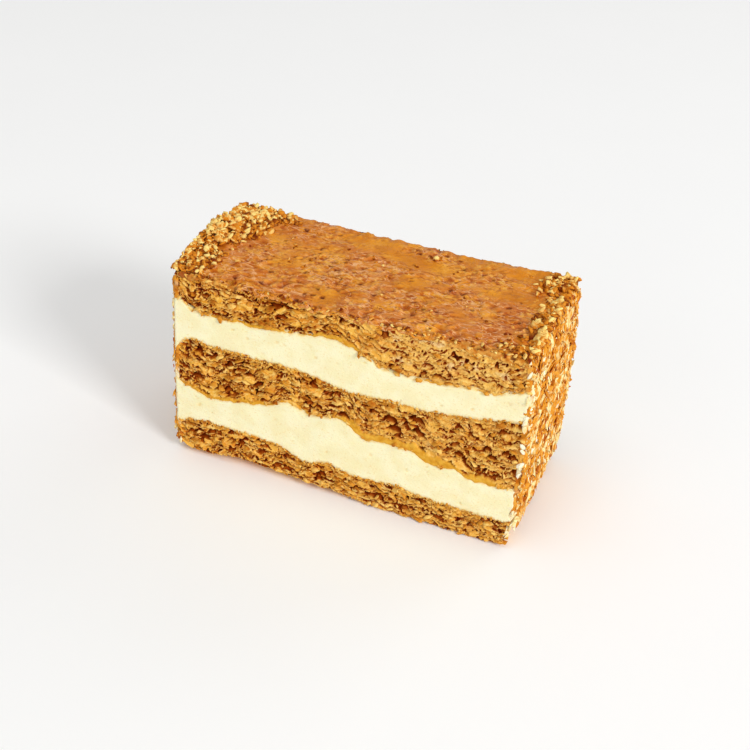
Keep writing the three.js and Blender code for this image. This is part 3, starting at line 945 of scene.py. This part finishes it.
def floor_material():
    s = Shader("pale_floor", {"Roughness": 0.7})
    s.base = linear((250, 250, 249))
    s.paint(s.noise(60), (252, 252, 251))
    s.feed(s.surface.inputs["Base Color"], s.base)
    return s.material


# ---- pastry and cream

CUT_STEP = 0.2
CREAM_STEPS_ALONG = 230
CREAM_STEPS_UP = 34
CORE_BELOW_GLAZE = 1.6
CORE_LIP = 0.35


def glaze_core(x, y):
    """The pastry's own top: well under the glaze, and up to its edge at the two cut faces."""
    lip = step(0.94, 1.0, abs(y) / HALF_DEPTH)
    return mix(GLAZE_LEVEL - CORE_BELOW_GLAZE, glaze_top(x, y) - CORE_LIP, lip)


def porous_top(x, s):
    """The right half of the top sheet is a fine crumb over a few large flakes."""
    border = 3.4 + 0.8 * noise(x / 5, 0, 0, 131)
    ragged = 5 * layered(x / 4, s / 2.5, 0, 133, 2)
    return step(6, 14, x + ragged) * step(border - 0.5, border + 0.5, s)


def porous_middle(x, s):
    return 0.35 * step(10, 25, x) * step(0.0, 0.4, noise(x / 6, s / 3, 0, 132))


def porous_nowhere(x, s):
    return 0.0 * x


def no_film(x):
    """A film of syrup that ends below the sheet, so that none of it shows."""
    return 0 * x - 1


# The three sheets: their surfaces and thickness, how open their cut faces are along x, how deep
# the openings reach, where they are porous or under syrup, and how light their right half is.
SHEETS = {
    "pastry_bottom": {
        "under": underside, "over": bottom_top, "thickness": 10.0, "laps": (0, SEAM_LAP),
        "open": lambda x: mix(0.36, 0.24, step(-20, 15, x)), "deep": 1.6,
        "porous": porous_nowhere, "film": no_film, "light": 0.5, "seed": 400,
    },
    "pastry_middle": {
        "under": middle_under, "over": middle_top, "thickness": 13.5, "laps": (SEAM_LAP, SEAM_LAP),
        "open": lambda x: mix(0.4, 0.19, step(-30, 5, x)), "deep": 2.1,
        "porous": porous_middle, "film": curve(FILM_UNDER_MIDDLE), "light": 0.7, "seed": 410,
    },
    "pastry_top": {
        "under": top_under, "over": glaze_core, "thickness": 10.0, "laps": (SEAM_LAP, 0),
        "open": lambda x: mix(0.36, 0.13, step(-25, 5, x)), "deep": 1.8,
        "porous": porous_top, "film": curve(FILM_UNDER_TOP), "light": 1.0, "seed": 420,
    },
}
CREAMS = (("cream_lower", bottom_top, middle_under, 500), ("cream_upper", middle_top, top_under, 520))


def right_half(x):
    return step(-15, 25, x)


cut_pastry = pastry_material()
for node, sheet in SHEETS.items():
    points, faces, marks = layer_points(
        round(LENGTH / CUT_STEP), round(sheet["thickness"] / CUT_STEP),
        sheet["under"], sheet["over"], pastry_relief(sheet), *sheet["laps"],
    )
    marks["light"] = sheet["light"] * right_half(points[:, 0])
    add_piece(node + "_core", points, faces, marks, cut_pastry, "pastry", node)

cream = cream_material()
for node, lower, upper, seed in CREAMS:
    points, faces, marks = layer_points(
        CREAM_STEPS_ALONG, CREAM_STEPS_UP, lower, upper, cream_relief(seed),
    )
    add_piece(node + "_filling", points, faces, marks, cream, "cream", node)

SHARDS_PER_MM = 30
SHARD_REACH = 0.25
STRIPS_PER_MM = 4
STRIP_STEPS = 7
STRIP_THICKNESS = 0.12
STRIP_ROOT = -1.3


def cut_shards(sheet, side):
    """Small broken flakes that stand in a cut face like loose roof tiles."""
    count = int(SHARDS_PER_MM * sheet["thickness"])
    limit = HALF_LENGTH - COAT_RIGHT - 0.8
    x = random.uniform(0.8 - limit, limit, count)
    up = random.uniform(0.02, 0.98, count)
    low, high = sheet["under"](x, side * HALF_DEPTH), sheet["over"](x, side * HALF_DEPTH)
    s = up * (high - low)
    seed = sheet["seed"] + 30 + side
    crowd = 0.62 + ripples(x, s, (0.5, 4, 2.5, seed)) - 0.35 * sheet["porous"](x, s)
    kept = (random.random(count) < crowd) & (s > sheet["film"](x) + 0.2)
    if side < 0:
        kept &= front_hollows(x, low + s)[1] < 0.1
    x, s, low = x[kept], s[kept], low[kept]
    count = len(x)
    y = side * (HALF_DEPTH - SHARD_REACH * random.random(count) - 0.15)
    out = random.uniform(0.1, 1.1, count)
    normals = columns(random.normal(0, 0.3, count), side * out, 1)
    slant = ripples(x, s, (0.5, 3, 2, seed + 5)) + random.normal(0, 0.3, count)
    sizes = 0.8 + 2.4 * random.random(count) ** 2
    tone = np.clip(random.uniform(-1, 0.9, count) + sheet["light"] * 0.25 * right_half(x), -1, 1)
    grain = columns(np.cos(slant), 0, np.sin(slant))
    return flakes(columns(x, y, low + s), normals, sizes, SHARD, grain, tone)


def seam_chips(surface, count, below, above, sizes, side):
    """Chips of pastry that stick out of a seam into the cream, or lap down over it."""
    limit = HALF_LENGTH - COAT_RIGHT - 0.6
    x = random.uniform(-limit, limit, count)
    z = surface(x, side * HALF_DEPTH) + random.uniform(-below, above, count)
    y = side * (HALF_DEPTH - 0.12 + 0.1 * random.random(count))
    normals = columns(random.normal(0, 0.3, count), side, random.normal(0.3, 0.4, count))
    slant = random.normal(0.2, 0.8, count)
    grain = columns(np.cos(slant), 0, np.sin(slant))
    return flakes(columns(x, y, z), normals, random.uniform(*sizes, count), SHARD, grain)


def strip_faces():
    """The quads of one strip: its four long sides, step by step, and its two tips."""
    faces = [
        (4 * n + c, 4 * n + (c + 1) % 4, 4 * n + 4 + (c + 1) % 4, 4 * n + 4 + c)
        for n in range(STRIP_STEPS) for c in range(4)
    ]
    return faces + [(0, 3, 2, 1), tuple(4 * STRIP_STEPS + c for c in range(4))]


def cut_strips(sheet, side):
    """Thin wavy sheets seen edge on, which stand out of one cut face of a layer."""
    count = int(STRIPS_PER_MM * sheet["thickness"])
    level = random.uniform(0.03, 0.97, count)[:, None]
    length = random.uniform(1.0, 4.0, count)
    start = random.uniform(0.5 + COAT_LEFT - HALF_LENGTH, HALF_LENGTH - COAT_RIGHT - 2, count)
    phase = random.uniform(0, 100, count)[:, None]
    length = np.minimum(length, HALF_LENGTH - COAT_RIGHT - 0.5 - start)
    reach = random.uniform(0.02, 0.32, count)[:, None]
    t = np.linspace(0, 1, STRIP_STEPS + 1)
    x = start[:, None] + length[:, None] * t
    z = mix(sheet["under"](x, side * HALF_DEPTH), sheet["over"](x, side * HALF_DEPTH), level)
    z = z + 0.38 * noise(x / 1.9, phase, 0, 61) + 0.2 * noise(x / 0.8, phase, 3, 62)
    taper = np.sin(np.pi * np.clip(t * 0.94 + 0.03, 0, 1)) ** 0.5
    out = reach * taper * random.uniform(0.5, 1.1, x.shape)
    outer_y, inner_y = (side * (HALF_DEPTH - 0.35 + far) for far in (out, STRIP_ROOT))
    droop = random.uniform(-0.35, 0.25, (count, 1)) * taper
    half = STRIP_THICKNESS / 2 * random.uniform(0.6, 1.3, (count, 1))
    points = np.stack([
        columns(x, outer_y, z + droop + half), columns(x, outer_y, z + droop - half),
        columns(x, inner_y, z - half), columns(x, inner_y, z + half),
    ], 2).reshape(count, -1, 3)
    each = points.shape[1]
    tone = np.repeat(random.uniform(-1, 1, count), each)
    return points.reshape(-1, 3), repeated(strip_faces(), each, count), tone


gold = flake_material("pastry_flakes", 0.6, (166, 84, 10), (218, 148, 48), (250, 206, 112))
SIDES = (-1, 1)
for node, sheet in SHEETS.items():
    add_flakes(node + "_shards", [cut_shards(sheet, side) for side in SIDES], gold, "pastry")

# Chips along each seam: how many on a side, how far below and above it, and their sizes.
RAGGED = (170, 0.5, 0.2, (0.4, 1.3))
LAPPING = (26, -0.2, 0.9, (0.6, 2.2))
SEAM_CHIPS = (
    (bottom_top, RAGGED), (middle_top, RAGGED), (middle_under, LAPPING), (top_under, LAPPING),
)
chips = [seam_chips(surface, *how, side) for surface, how in SEAM_CHIPS for side in SIDES]
add_flakes("seam_chips", chips, gold, "pastry")

for node, sheet in SHEETS.items():
    add_flakes(node + "_edges", [cut_strips(sheet, side) for side in SIDES], gold, "pastry")


# ---- glaze

GLAZE_ROLL = 0.9
GLAZE_EDGE = 0.3
GLAZE_THICKNESS = 0.4
GLAZE_END_INSET = 1.5
GLAZE_END_FALL = 0.7
GLAZE_CORNER_FALL = 0.5
BAND_FRONT = 7.0
BAND_BACK = 13.5
# Cells of the glaze, smaller across near the front edge than over the rest.
GLAZE_CELLS_ALONG = 300
GLAZE_CELLS_NEAR = 28
GLAZE_CELLS_FAR = 104
GLAZE_NEAR = -0.8


def band_width(across):
    """How far the crumb band on the left reaches over the glaze, from the front, -1, to the back."""
    return mix(BAND_FRONT, BAND_BACK, step(-1, 1, across + 0.25 * noise(across * 4, 0, 0, 110)))


def glaze_marks(x, y, at_y, drop, bare, holes):
    """What shows in the glaze at each point, for its material."""
    around = glaze_top(x + 1.2, y) + glaze_top(x - 1.2, y) + glaze_top(x, y + 1) + glaze_top(x, y - 1)
    from_left = x + HALF_LENGTH - CRUMB_REACH
    on_top = drop < 0.3
    marks = {
        # Painted shade in the pits, and in the pores where the glaze gives out.
        "pit_shade": np.maximum(glaze_pits(x, at_y) * on_top, bare * step(0.35, 0.8, holes)),
        "bare": bare,
        # Painted shade where the glaze dips below its neighbours.
        "dip_shade": step(0.05, 0.35, around / 4 - glaze_top(x, y)) * on_top,
        "pool": glaze_pools(x, y),
        # A painted sheen on the crests of the wrinkles.
        "ridge_sheen": step(0.0, 0.22, glaze_ridges(x, y)),
        "knob": glaze_knobs(x, y),
        # Painted shade on the glaze under the crumb band, so that the gaps among the crumbs look dark.
        "band": step(1.0, 0.6, from_left / band_width(y / DEPTH * 2)),
    }
    return {key: np.tile(value.ravel(), 2) for key, value in marks.items()}


def glaze_skin():
    """The caramel glaze: a thin sheet over the top pastry that rolls over its two long edges."""
    along = np.linspace(-1, 1, GLAZE_CELLS_ALONG + 1)[:, None]
    near = np.linspace(-1, GLAZE_NEAR, GLAZE_CELLS_NEAR + 1)
    across = np.append(near, np.linspace(GLAZE_NEAR, 1, GLAZE_CELLS_FAR + 1)[1:])[None, :]
    side = np.sign(across)
    end = end_face(along, across * HALF_DEPTH, GLAZE_LEVEL) - GLAZE_END_INSET
    x = along * end
    half = HALF_DEPTH - GLAZE_EDGE
    flat = half - GLAZE_ROLL
    run = flat + GLAZE_ROLL * np.pi / 2
    hang = 0.6 + ripples(x, side * 9, (0.45, 3.1, 1, 71), (0.5, 1.2, 1, 72))
    travel = abs(across) * (run + np.clip(hang, 0.0, 1.6))
    bend = np.clip((travel - flat) / GLAZE_ROLL, 0, np.pi / 2)
    beyond = np.clip(travel - run, 0, None)
    y = side * (np.minimum(travel, flat) + GLAZE_ROLL * np.sin(bend) + 0.05 * beyond)
    drop = GLAZE_ROLL * (1 - np.cos(bend)) * 0.62 + beyond
    edge_shift = ripples(x, side * 4, (0.35, 3.4, 1, 73), (0.18, 1.3, 1, 74))
    y = y + side * edge_shift * step(flat - 2, half, travel)
    at_y = np.clip(y, -flat, flat)
    bare = glaze_bare(x, y)
    holes = pores(x, y, BARE_PORES, 78)
    grain = 0.25 * layered(x / 1.1, y / 1.1, 0, 48, 2)
    corner = edge_rise(x + HALF_LENGTH, 12) * edge_rise(HALF_DEPTH - y, 7)
    top = glaze_top(x, at_y) - drop + bare * (grain - 0.15 - 0.75 * holes)
    top = top - GLAZE_END_FALL * edge_rise(end - abs(x), 2.2) ** 2 - GLAZE_CORNER_FALL * corner
    upper = columns(x, y, top)
    under = upper - GLAZE_THICKNESS * columns(0, side * np.sin(bend), np.cos(bend))
    number = np.arange(x.size).reshape(x.shape)
    loop = np.concatenate([number[:-1, 0], number[-1, :-1], number[:0:-1, -1], number[0, :0:-1]])
    after = np.roll(loop, -1)
    rim = columns(after, loop, loop + x.size, after + x.size)
    faces = np.concatenate([quads(number), quads(number, True) + x.size, rim])
    points = np.concatenate([upper.reshape(-1, 3), under.reshape(-1, 3)])
    return points, faces, glaze_marks(x, y, at_y, drop, bare, holes)


add_piece("glaze", *glaze_skin(), glaze_material(), "glazed_pastry")


# ---- the two ends

COAT_STEPS_IN = 3
COAT_STEPS_ACROSS = 84
COAT_STEPS_UP = 110
COAT_DEPTH = 1.9
COAT_BASE_INSET = 1.2
COAT_SHREDS = 2300
CREAM_DABS_LEFT = 60
CREAM_DABS_RIGHT = 240
BARE_FOOT = 9.0
OUTER_SLACK = 0.6


def coat_half_width(z):
    """Half the width of an end's coat, less towards its rounded corners."""
    def cut(distance, radius):
        into = np.clip(distance, 0, radius)
        return radius - np.sqrt(radius * radius - into * into)
    top = cut(z - (COAT_TOP - END_CORNER_TOP), END_CORNER_TOP)
    return HALF_DEPTH - top - cut(COAT_FOOT + END_CORNER_FOOT - z, END_CORNER_FOOT)


def coat_face(end, y, z):
    """The outer face of an end's coat, with its top edge rounded off."""
    into = np.clip((z - (COAT_TOP - END_TOP_ROUND)) / END_TOP_ROUND, 0, 1)
    return end_face(end, y, z) - 0.45 * END_TOP_ROUND * (1 - np.sqrt(1 - into * into))


def coat_bare(end, y, z):
    """Where the right end's front corner has lost its crumbs, low down: 0 to 1."""
    height = BARE_FOOT * edge_rise(y + HALF_DEPTH, 12) - (z - COAT_FOOT)
    return (end > 0) * step(0.0, 2.5, height)


def coat_base(end):
    """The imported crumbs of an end, under the flakes that show, with cream at its upright rims."""
    rows = np.linspace(-1, 1, COAT_STEPS_ACROSS + 1)
    i, j, k, faces = box_surface(COAT_STEPS_IN, rows, COAT_STEPS_UP)
    out = i / COAT_STEPS_IN if end > 0 else 1 - i / COAT_STEPS_IN
    across = rows[j]
    z = mix(COAT_FOOT, COAT_TOP, k / COAT_STEPS_UP)
    wide = coat_half_width(z)
    y = across * (wide - 0.3 - 0.3 * noise(z / 1.6, across * 3, 0, 90 + end))
    bent_y = y + ripples(y, z, (0.6, 2, 3, 95 + end))
    big, line, shade, _, name = plates(z + 0.5 * bent_y, bent_y, 2.3, 1.05, 92 + end)
    lump = np.clip(0.5 + 0.8 * big + ripples(y, z, (0.15, 0.5, 0.7, 96)), 0, 1.1)
    from_edge = np.minimum(z - COAT_FOOT, COAT_TOP - z)
    rim = np.maximum(edge_rise(wide - abs(y), 1.2), edge_rise(from_edge, 1.2))
    bare = coat_bare(end, y, z)
    outer = coat_face(end, y, z) - COAT_BASE_INSET + lump - 0.5 * rim ** 2 - 0.6 * bare
    inner = end_face(end, y, z) - COAT_DEPTH
    patchy = step(0.0, 0.3, noise(z / 5.0 + 1.6, np.sign(y) * 3, 0, 97))
    smear = step(1.7, 0.5, wide - abs(y) + ripples(z, y, (0.6, 1.2, 1.2, 94))) * patchy
    smear = np.maximum(smear, 0.7 * step(0.4, 0.62, noise(y / 4, z / 3, 0, 98)))
    marks = {
        "tone": spread(name, 3) * 2 - 1,
        # Painted shade in the shadow lines under the crumbs' lips and below them.
        "cavity": np.maximum(0.9 * line, 0.5 * shade),
        "cream": 0.85 * np.maximum(smear, bare),
    }
    return columns(end * mix(inner, outer, out), y, z), faces, marks


def pressed_flakes(end, x, y, z, normals, sizes, grain, kept, tone=None):
    """Flakes on an end, kept from standing out past its rounded outline."""
    tone = tone if tone is None else tone[kept]
    places = columns(x, y, z)[kept]
    points, faces, tones = flakes(places, normals[kept], sizes[kept], SHRED, grain[kept], tone)
    x, y, z = points.T
    wide = coat_half_width(z) + OUTER_SLACK
    y = np.clip(y, -wide, wide)
    z = np.clip(z, COAT_FOOT - OUTER_SLACK, COAT_TOP + OUTER_SLACK)
    round_rim = 1.1 * edge_rise(wide - abs(y), 1.6) ** 2
    x = end * np.minimum(end * x, coat_face(end, y, z) - round_rim + OUTER_SLACK)
    return columns(x, y, z), faces, tones


def coat_flakes(end):
    """Small shreds of pastry pressed on the outer face of an end, most of them upright."""
    count = COAT_SHREDS
    z = random.uniform(COAT_FOOT + 0.4, COAT_TOP - 0.2, count)
    across = random.uniform(-1, 1, count)
    y = across * (coat_half_width(z) - 0.35)
    x = end * (coat_face(end, y, z) - 0.3 + random.uniform(-0.4, 0.2, count))
    turned = np.sign(across) * step(0.93, 1.0, abs(across)) + random.normal(0, 0.24, count)
    lean = 0.05 + 1.2 * step(COAT_TOP - 2.5, COAT_TOP, z) + random.normal(0, 0.2, count)
    swirl = 0.45 + ripples(y, z, (0.9, 9, 9, 99 + end))
    sizes = (1.1 + 3.2 * random.random(count) ** 2) * mix(1.0, 0.6, step(0.9, 1.0, abs(across)))
    patch = ripples(y, z, (1.3, 4, 6, 101 + end), (0.7, 1.5, 2.5, 103 + end))
    tone = np.clip(patch + random.uniform(-0.7, 0.7, count), -1, 1)
    kept = coat_bare(end, y, z) < random.uniform(0.3, 1.0, count)
    grain = columns(0, np.sin(swirl), np.cos(swirl))
    return pressed_flakes(end, x, y, z, columns(end, turned, lean), sizes, grain, kept, tone)


def coat_cream(end, count):
    """Dabs of cream pressed out between the crumbs: along the upright rims and a few more."""
    z = random.uniform(COAT_FOOT + 1, COAT_TOP - 0.5, count)
    side = random.choice([-1, 1], count)
    across = side * (1 - 0.1 * random.random(count) ** 1.5)
    scattered = random.random(count) < 0.25
    across = np.where(scattered, random.uniform(-1, 1, count), across)
    patchy = noise(z / 5.0 + 1.6, side * 3, 0, 97) + 0.5 * noise(z / 1.7, side * 5, 0, 104)
    y = across * (coat_half_width(z) - 0.1)
    x = end * (coat_face(end, y, z) - 0.35 - 0.9 * edge_rise(1 - abs(across), 0.08))
    normals = columns(end, 1.2 * across, random.normal(0, 0.3, count))
    grain = columns(0, 0.2 * random.normal(size=count), 1)
    sizes = random.uniform(0.7, 2.8, count)
    return pressed_flakes(end, x, y, z, normals, sizes, grain, (patchy > -0.1) | scattered)


end_crumbs = flake_material("end_crumbs", 0.5, (172, 74, 6), (232, 156, 44), (255, 242, 176))
dabs = flake_material("coat_cream", 0.5, (240, 202, 124), (253, 236, 186), (255, 248, 222))
coat_ground = coat_material()
for end, label, count in ((-1, "left", CREAM_DABS_LEFT), (1, "right", CREAM_DABS_RIGHT)):
    add_piece("coat_" + label, *coat_base(end), coat_ground, "crumbs", "crumb_coat_" + label)
    add_flakes("coat_flakes_" + label, [coat_flakes(end)], end_crumbs, "crumbs")
    add_flakes("coat_cream_" + label, [coat_cream(end, count)], dabs, "cream")


# ---- loose crumbs

BAND_CRUMBS = 1450
BORDER_CRUMBS = 260
EDGE_CRUMBS = 110
LONE_CRUMBS = 34


def crumb_heap(x, y, pile, sizes, kind, brightness=0.0):
    """Crumbs lying every way on the glaze, up to the given height above it, the low ones painted darker as
    shade in the heap.
    """
    count = len(x)
    level = random.random(count)
    z = glaze_top(x, y) + pile * level
    normals = columns(random.normal(0, 0.7, count), random.normal(0, 0.7, count), 1)
    # Painted shade: the lower a crumb lies in the heap, the darker its tone.
    tone = mix(-1.3, 0.85, level ** 1.6) + brightness + random.normal(0, 0.35, count)
    return flakes(columns(x, y, z), normals, sizes, kind, None, np.clip(tone, -1, 1))


def band_crumbs(count):
    """The heap of crumbs along the left end of the glaze, thinning towards the middle."""
    across = random.uniform(-1, 0.97, count)
    inward = random.random(count) ** 1.6
    y = across * (HALF_DEPTH - 1.0)
    ragged = 1 + 0.35 * noise(across * 7, 0, 0, 112) + 0.2 * noise(across * 19, 0, 0, 113)
    x = -0.2 - end_face(-1, y, GLAZE_LEVEL) + band_width(across) * inward * ragged
    hump = 1 + 0.7 * step(-0.8, -0.1, across) * step(0.6, 0.2, across)
    pile = mix(1.4, 0.1, step(0.1, 1.0, inward)) * hump
    pile = pile * (1 + 0.5 * noise(across * 3, inward * 2, 0, 111))
    pile = pile * mix(1.0, 0.45, step(0.7, 0.9, across)) * mix(0.3, 1.0, step(-1.0, -0.5, across))
    sizes = (0.7 + 2.2 * random.random(count) ** 2.0) * mix(0.75, 1.0, step(-0.7, 0.2, across))
    lying = noise(across * 5, inward * 2.5, 0, 115) <= 0.15 + 0.5 * (1 - inward)
    round_ones = lying & (random.random(count) < 0.25)
    return join([
        crumb_heap(x[some], y[some], pile[some], sizes[some], kind)
        for some, kind in ((round_ones, CRUMB), (lying & ~round_ones, CHIP))
    ])


def cluster(kind, x0, y0, spread_x, spread_y, count, pile, largest):
    """A few crumbs round one place of the glaze."""
    limit = HALF_LENGTH - 4.2
    x = np.clip(x0 + random.normal(0, spread_x, count), -limit, limit)
    y = np.clip(y0 + random.normal(0, spread_y, count), 1.6 - HALF_DEPTH, HALF_DEPTH - 2.2)
    return crumb_heap(x, y, pile, random.uniform(0.6, largest, count), kind, 0.05)


def right_border(count):
    """Larger flakes where the crumbs of the right end curl over on to the glaze."""
    y = random.uniform(1.5 - HALF_DEPTH, HALF_DEPTH - 1.2, count)
    reach = 4.6 * random.random(count) ** 2.0 * (1 + 0.5 * noise(y / 4, 0, 0, 114))
    x = end_face(1, y, GLAZE_LEVEL) - 1.3 - reach
    pile = mix(0.9, 0.15, step(0, 3, reach))
    return crumb_heap(x, y, pile, random.uniform(1.0, 3.0, count), CHIP, 0.35)


def front_border(count):
    """Small chips of pastry on the front edge, where the glaze gives out."""
    x = random.uniform(3 - HALF_LENGTH, HALF_LENGTH - 3, count)
    gap = np.clip(bare_front(x) + 0.6, 0.4, 4)
    y = random.uniform(0, 1, count) ** 1.3 * gap + 0.5 - HALF_DEPTH
    return crumb_heap(x, y, 0.0, random.uniform(0.5, 1.6, count), CHIP, -0.1)


# Clusters: kind, x, y, how far they spread in x and y, how many, how high, and the largest size.
CLUSTERS = (
    (CRUMB, -41, 15.5, 2.4, 2.4, 130, 1.0, 2.2), (CRUMB, -43, -6.5, 1.0, 2.0, 70, 0.8, 2.2),
    (CRUMB, -34.5, 17, 2.4, 1.6, 60, 0.7, 2.0), (CRUMB, -37.5, 9, 1.6, 3.0, 60, 0.7, 2.0),
    (CRUMB, -40.5, -14, 1.6, 2.0, 40, 0.7, 2.0), (CHIP, 38.8, 14.2, 1.5, 1.8, 50, 0.5, 2.4),
    (CHIP, 41.5, 15.5, 2.0, 2.0, 60, 0.5, 2.8), (CHIP, 38.5, -17, 2.0, 1.5, 40, 0.3, 1.8),
    (CRUMB, 9.5, 15, 0.9, 0.5, 9, 0.6, 1.8),
)
lots = [band_crumbs(BAND_CRUMBS)]
lots += [cluster(*how) for how in CLUSTERS]
lots += [right_border(BORDER_CRUMBS), front_border(EDGE_CRUMBS)]
for n in range(LONE_CRUMBS):
    lots.append(cluster(CHIP, random.uniform(-38, 41), random.uniform(-18, 18), 0.6, 0.5, 2, 0.1, 1.2))
glaze_crumbs = flake_material("glaze_crumbs", 0.6, (120, 40, 2), (218, 136, 34), (255, 226, 136))
add_flakes("glaze_crumbs", lots, glaze_crumbs, "crumbs")


# ---- floor, light, camera

# The floor, the lights and CAMERA_NEAR are in metres.
FLOOR_REACH = 3.0
ROOM_LIGHT = 0.52
LIGHT_DISTANCE = 2.5
# Soft lights aimed at the slice: name, azimuth, elevation, size and power in watts.
LIGHTS = (
    ("key", 64, 30, 0.7, 34), ("overhead", -35, 74, 1.25, 9), ("back", 150, 26, 1.4, 8),
    ("front", -20, 22, 1.4, 5),
)
CAMERA_AZIMUTH = 18.9
CAMERA_ELEVATION = 33.95
CAMERA_ROLL = 4.47
CAMERA_DISTANCE = 299.9
CAMERA_RIGHT = 0.64
CAMERA_UP = -2.11
CAMERA_AIM = (-0.5, 0, 27.8)
CAMERA_NEAR = 0.01
FRAME_PIXELS = 750
FOCAL_PIXELS = 1162.0
SENSOR = 36.0


def link(made):
    bpy.context.scene.collection.objects.link(made)
    return made


def towards(azimuth, elevation):
    """The direction out to a light or camera. Azimuth 0 is in front, 90 on the right."""
    a, e = math.radians(azimuth), math.radians(elevation)
    return Vector((math.sin(a) * math.cos(e), -math.cos(a) * math.cos(e), math.sin(e)))


def floor():
    mesh = bpy.data.meshes.new("floor")
    corners = [(x * FLOOR_REACH, y * FLOOR_REACH, 0) for x, y in ((-1, -1), (1, -1), (1, 1), (-1, 1))]
    mesh.from_pydata(corners, [], [(0, 1, 2, 3)])
    mesh.materials.append(floor_material())
    made = link(bpy.data.objects.new("floor", mesh))


def soft_light(name, azimuth, elevation, size, power):
    place = towards(azimuth, elevation) * LIGHT_DISTANCE
    data = bpy.data.lights.new(name, "AREA")
    data.size = size
    data.energy = power
    lamp = link(bpy.data.objects.new(name, data))
    lamp.location = place
    lamp.rotation_euler = (-place).to_track_quat("-Z", "Y").to_euler()


def room_light():
    world = bpy.data.worlds.new("studio")
    world.use_nodes = True
    background = world.node_tree.nodes["Background"]
    background.inputs["Color"].default_value = (1.0, 1.0, 1.0, 1.0)
    background.inputs["Strength"].default_value = ROOM_LIGHT
    bpy.context.scene.world = world


def camera():
    roll = math.radians(CAMERA_ROLL)
    back = towards(CAMERA_AZIMUTH, CAMERA_ELEVATION)
    right = Vector((0, 0, 1)).cross(back).normalized()
    up = back.cross(right)
    rolled_right = math.cos(roll) * right + math.sin(roll) * up
    rolled_up = -math.sin(roll) * right + math.cos(roll) * up
    place = Vector(CAMERA_AIM) + back * CAMERA_DISTANCE
    place += rolled_right * CAMERA_RIGHT + rolled_up * CAMERA_UP
    data = bpy.data.cameras.new("camera")
    data.sensor_width = SENSOR
    data.lens = FOCAL_PIXELS / FRAME_PIXELS * SENSOR
    data.clip_start = CAMERA_NEAR
    made = link(bpy.data.objects.new("camera", data))
    turn = Matrix((rolled_right, rolled_up, back)).transposed().to_4x4()
    made.matrix_world = Matrix.Translation(place * MM) @ turn
    bpy.context.scene.camera = made


floor()
room_light()
for light in LIGHTS:
    soft_light(*light)
camera()
bpy.context.scene.view_settings.view_transform = "Standard"
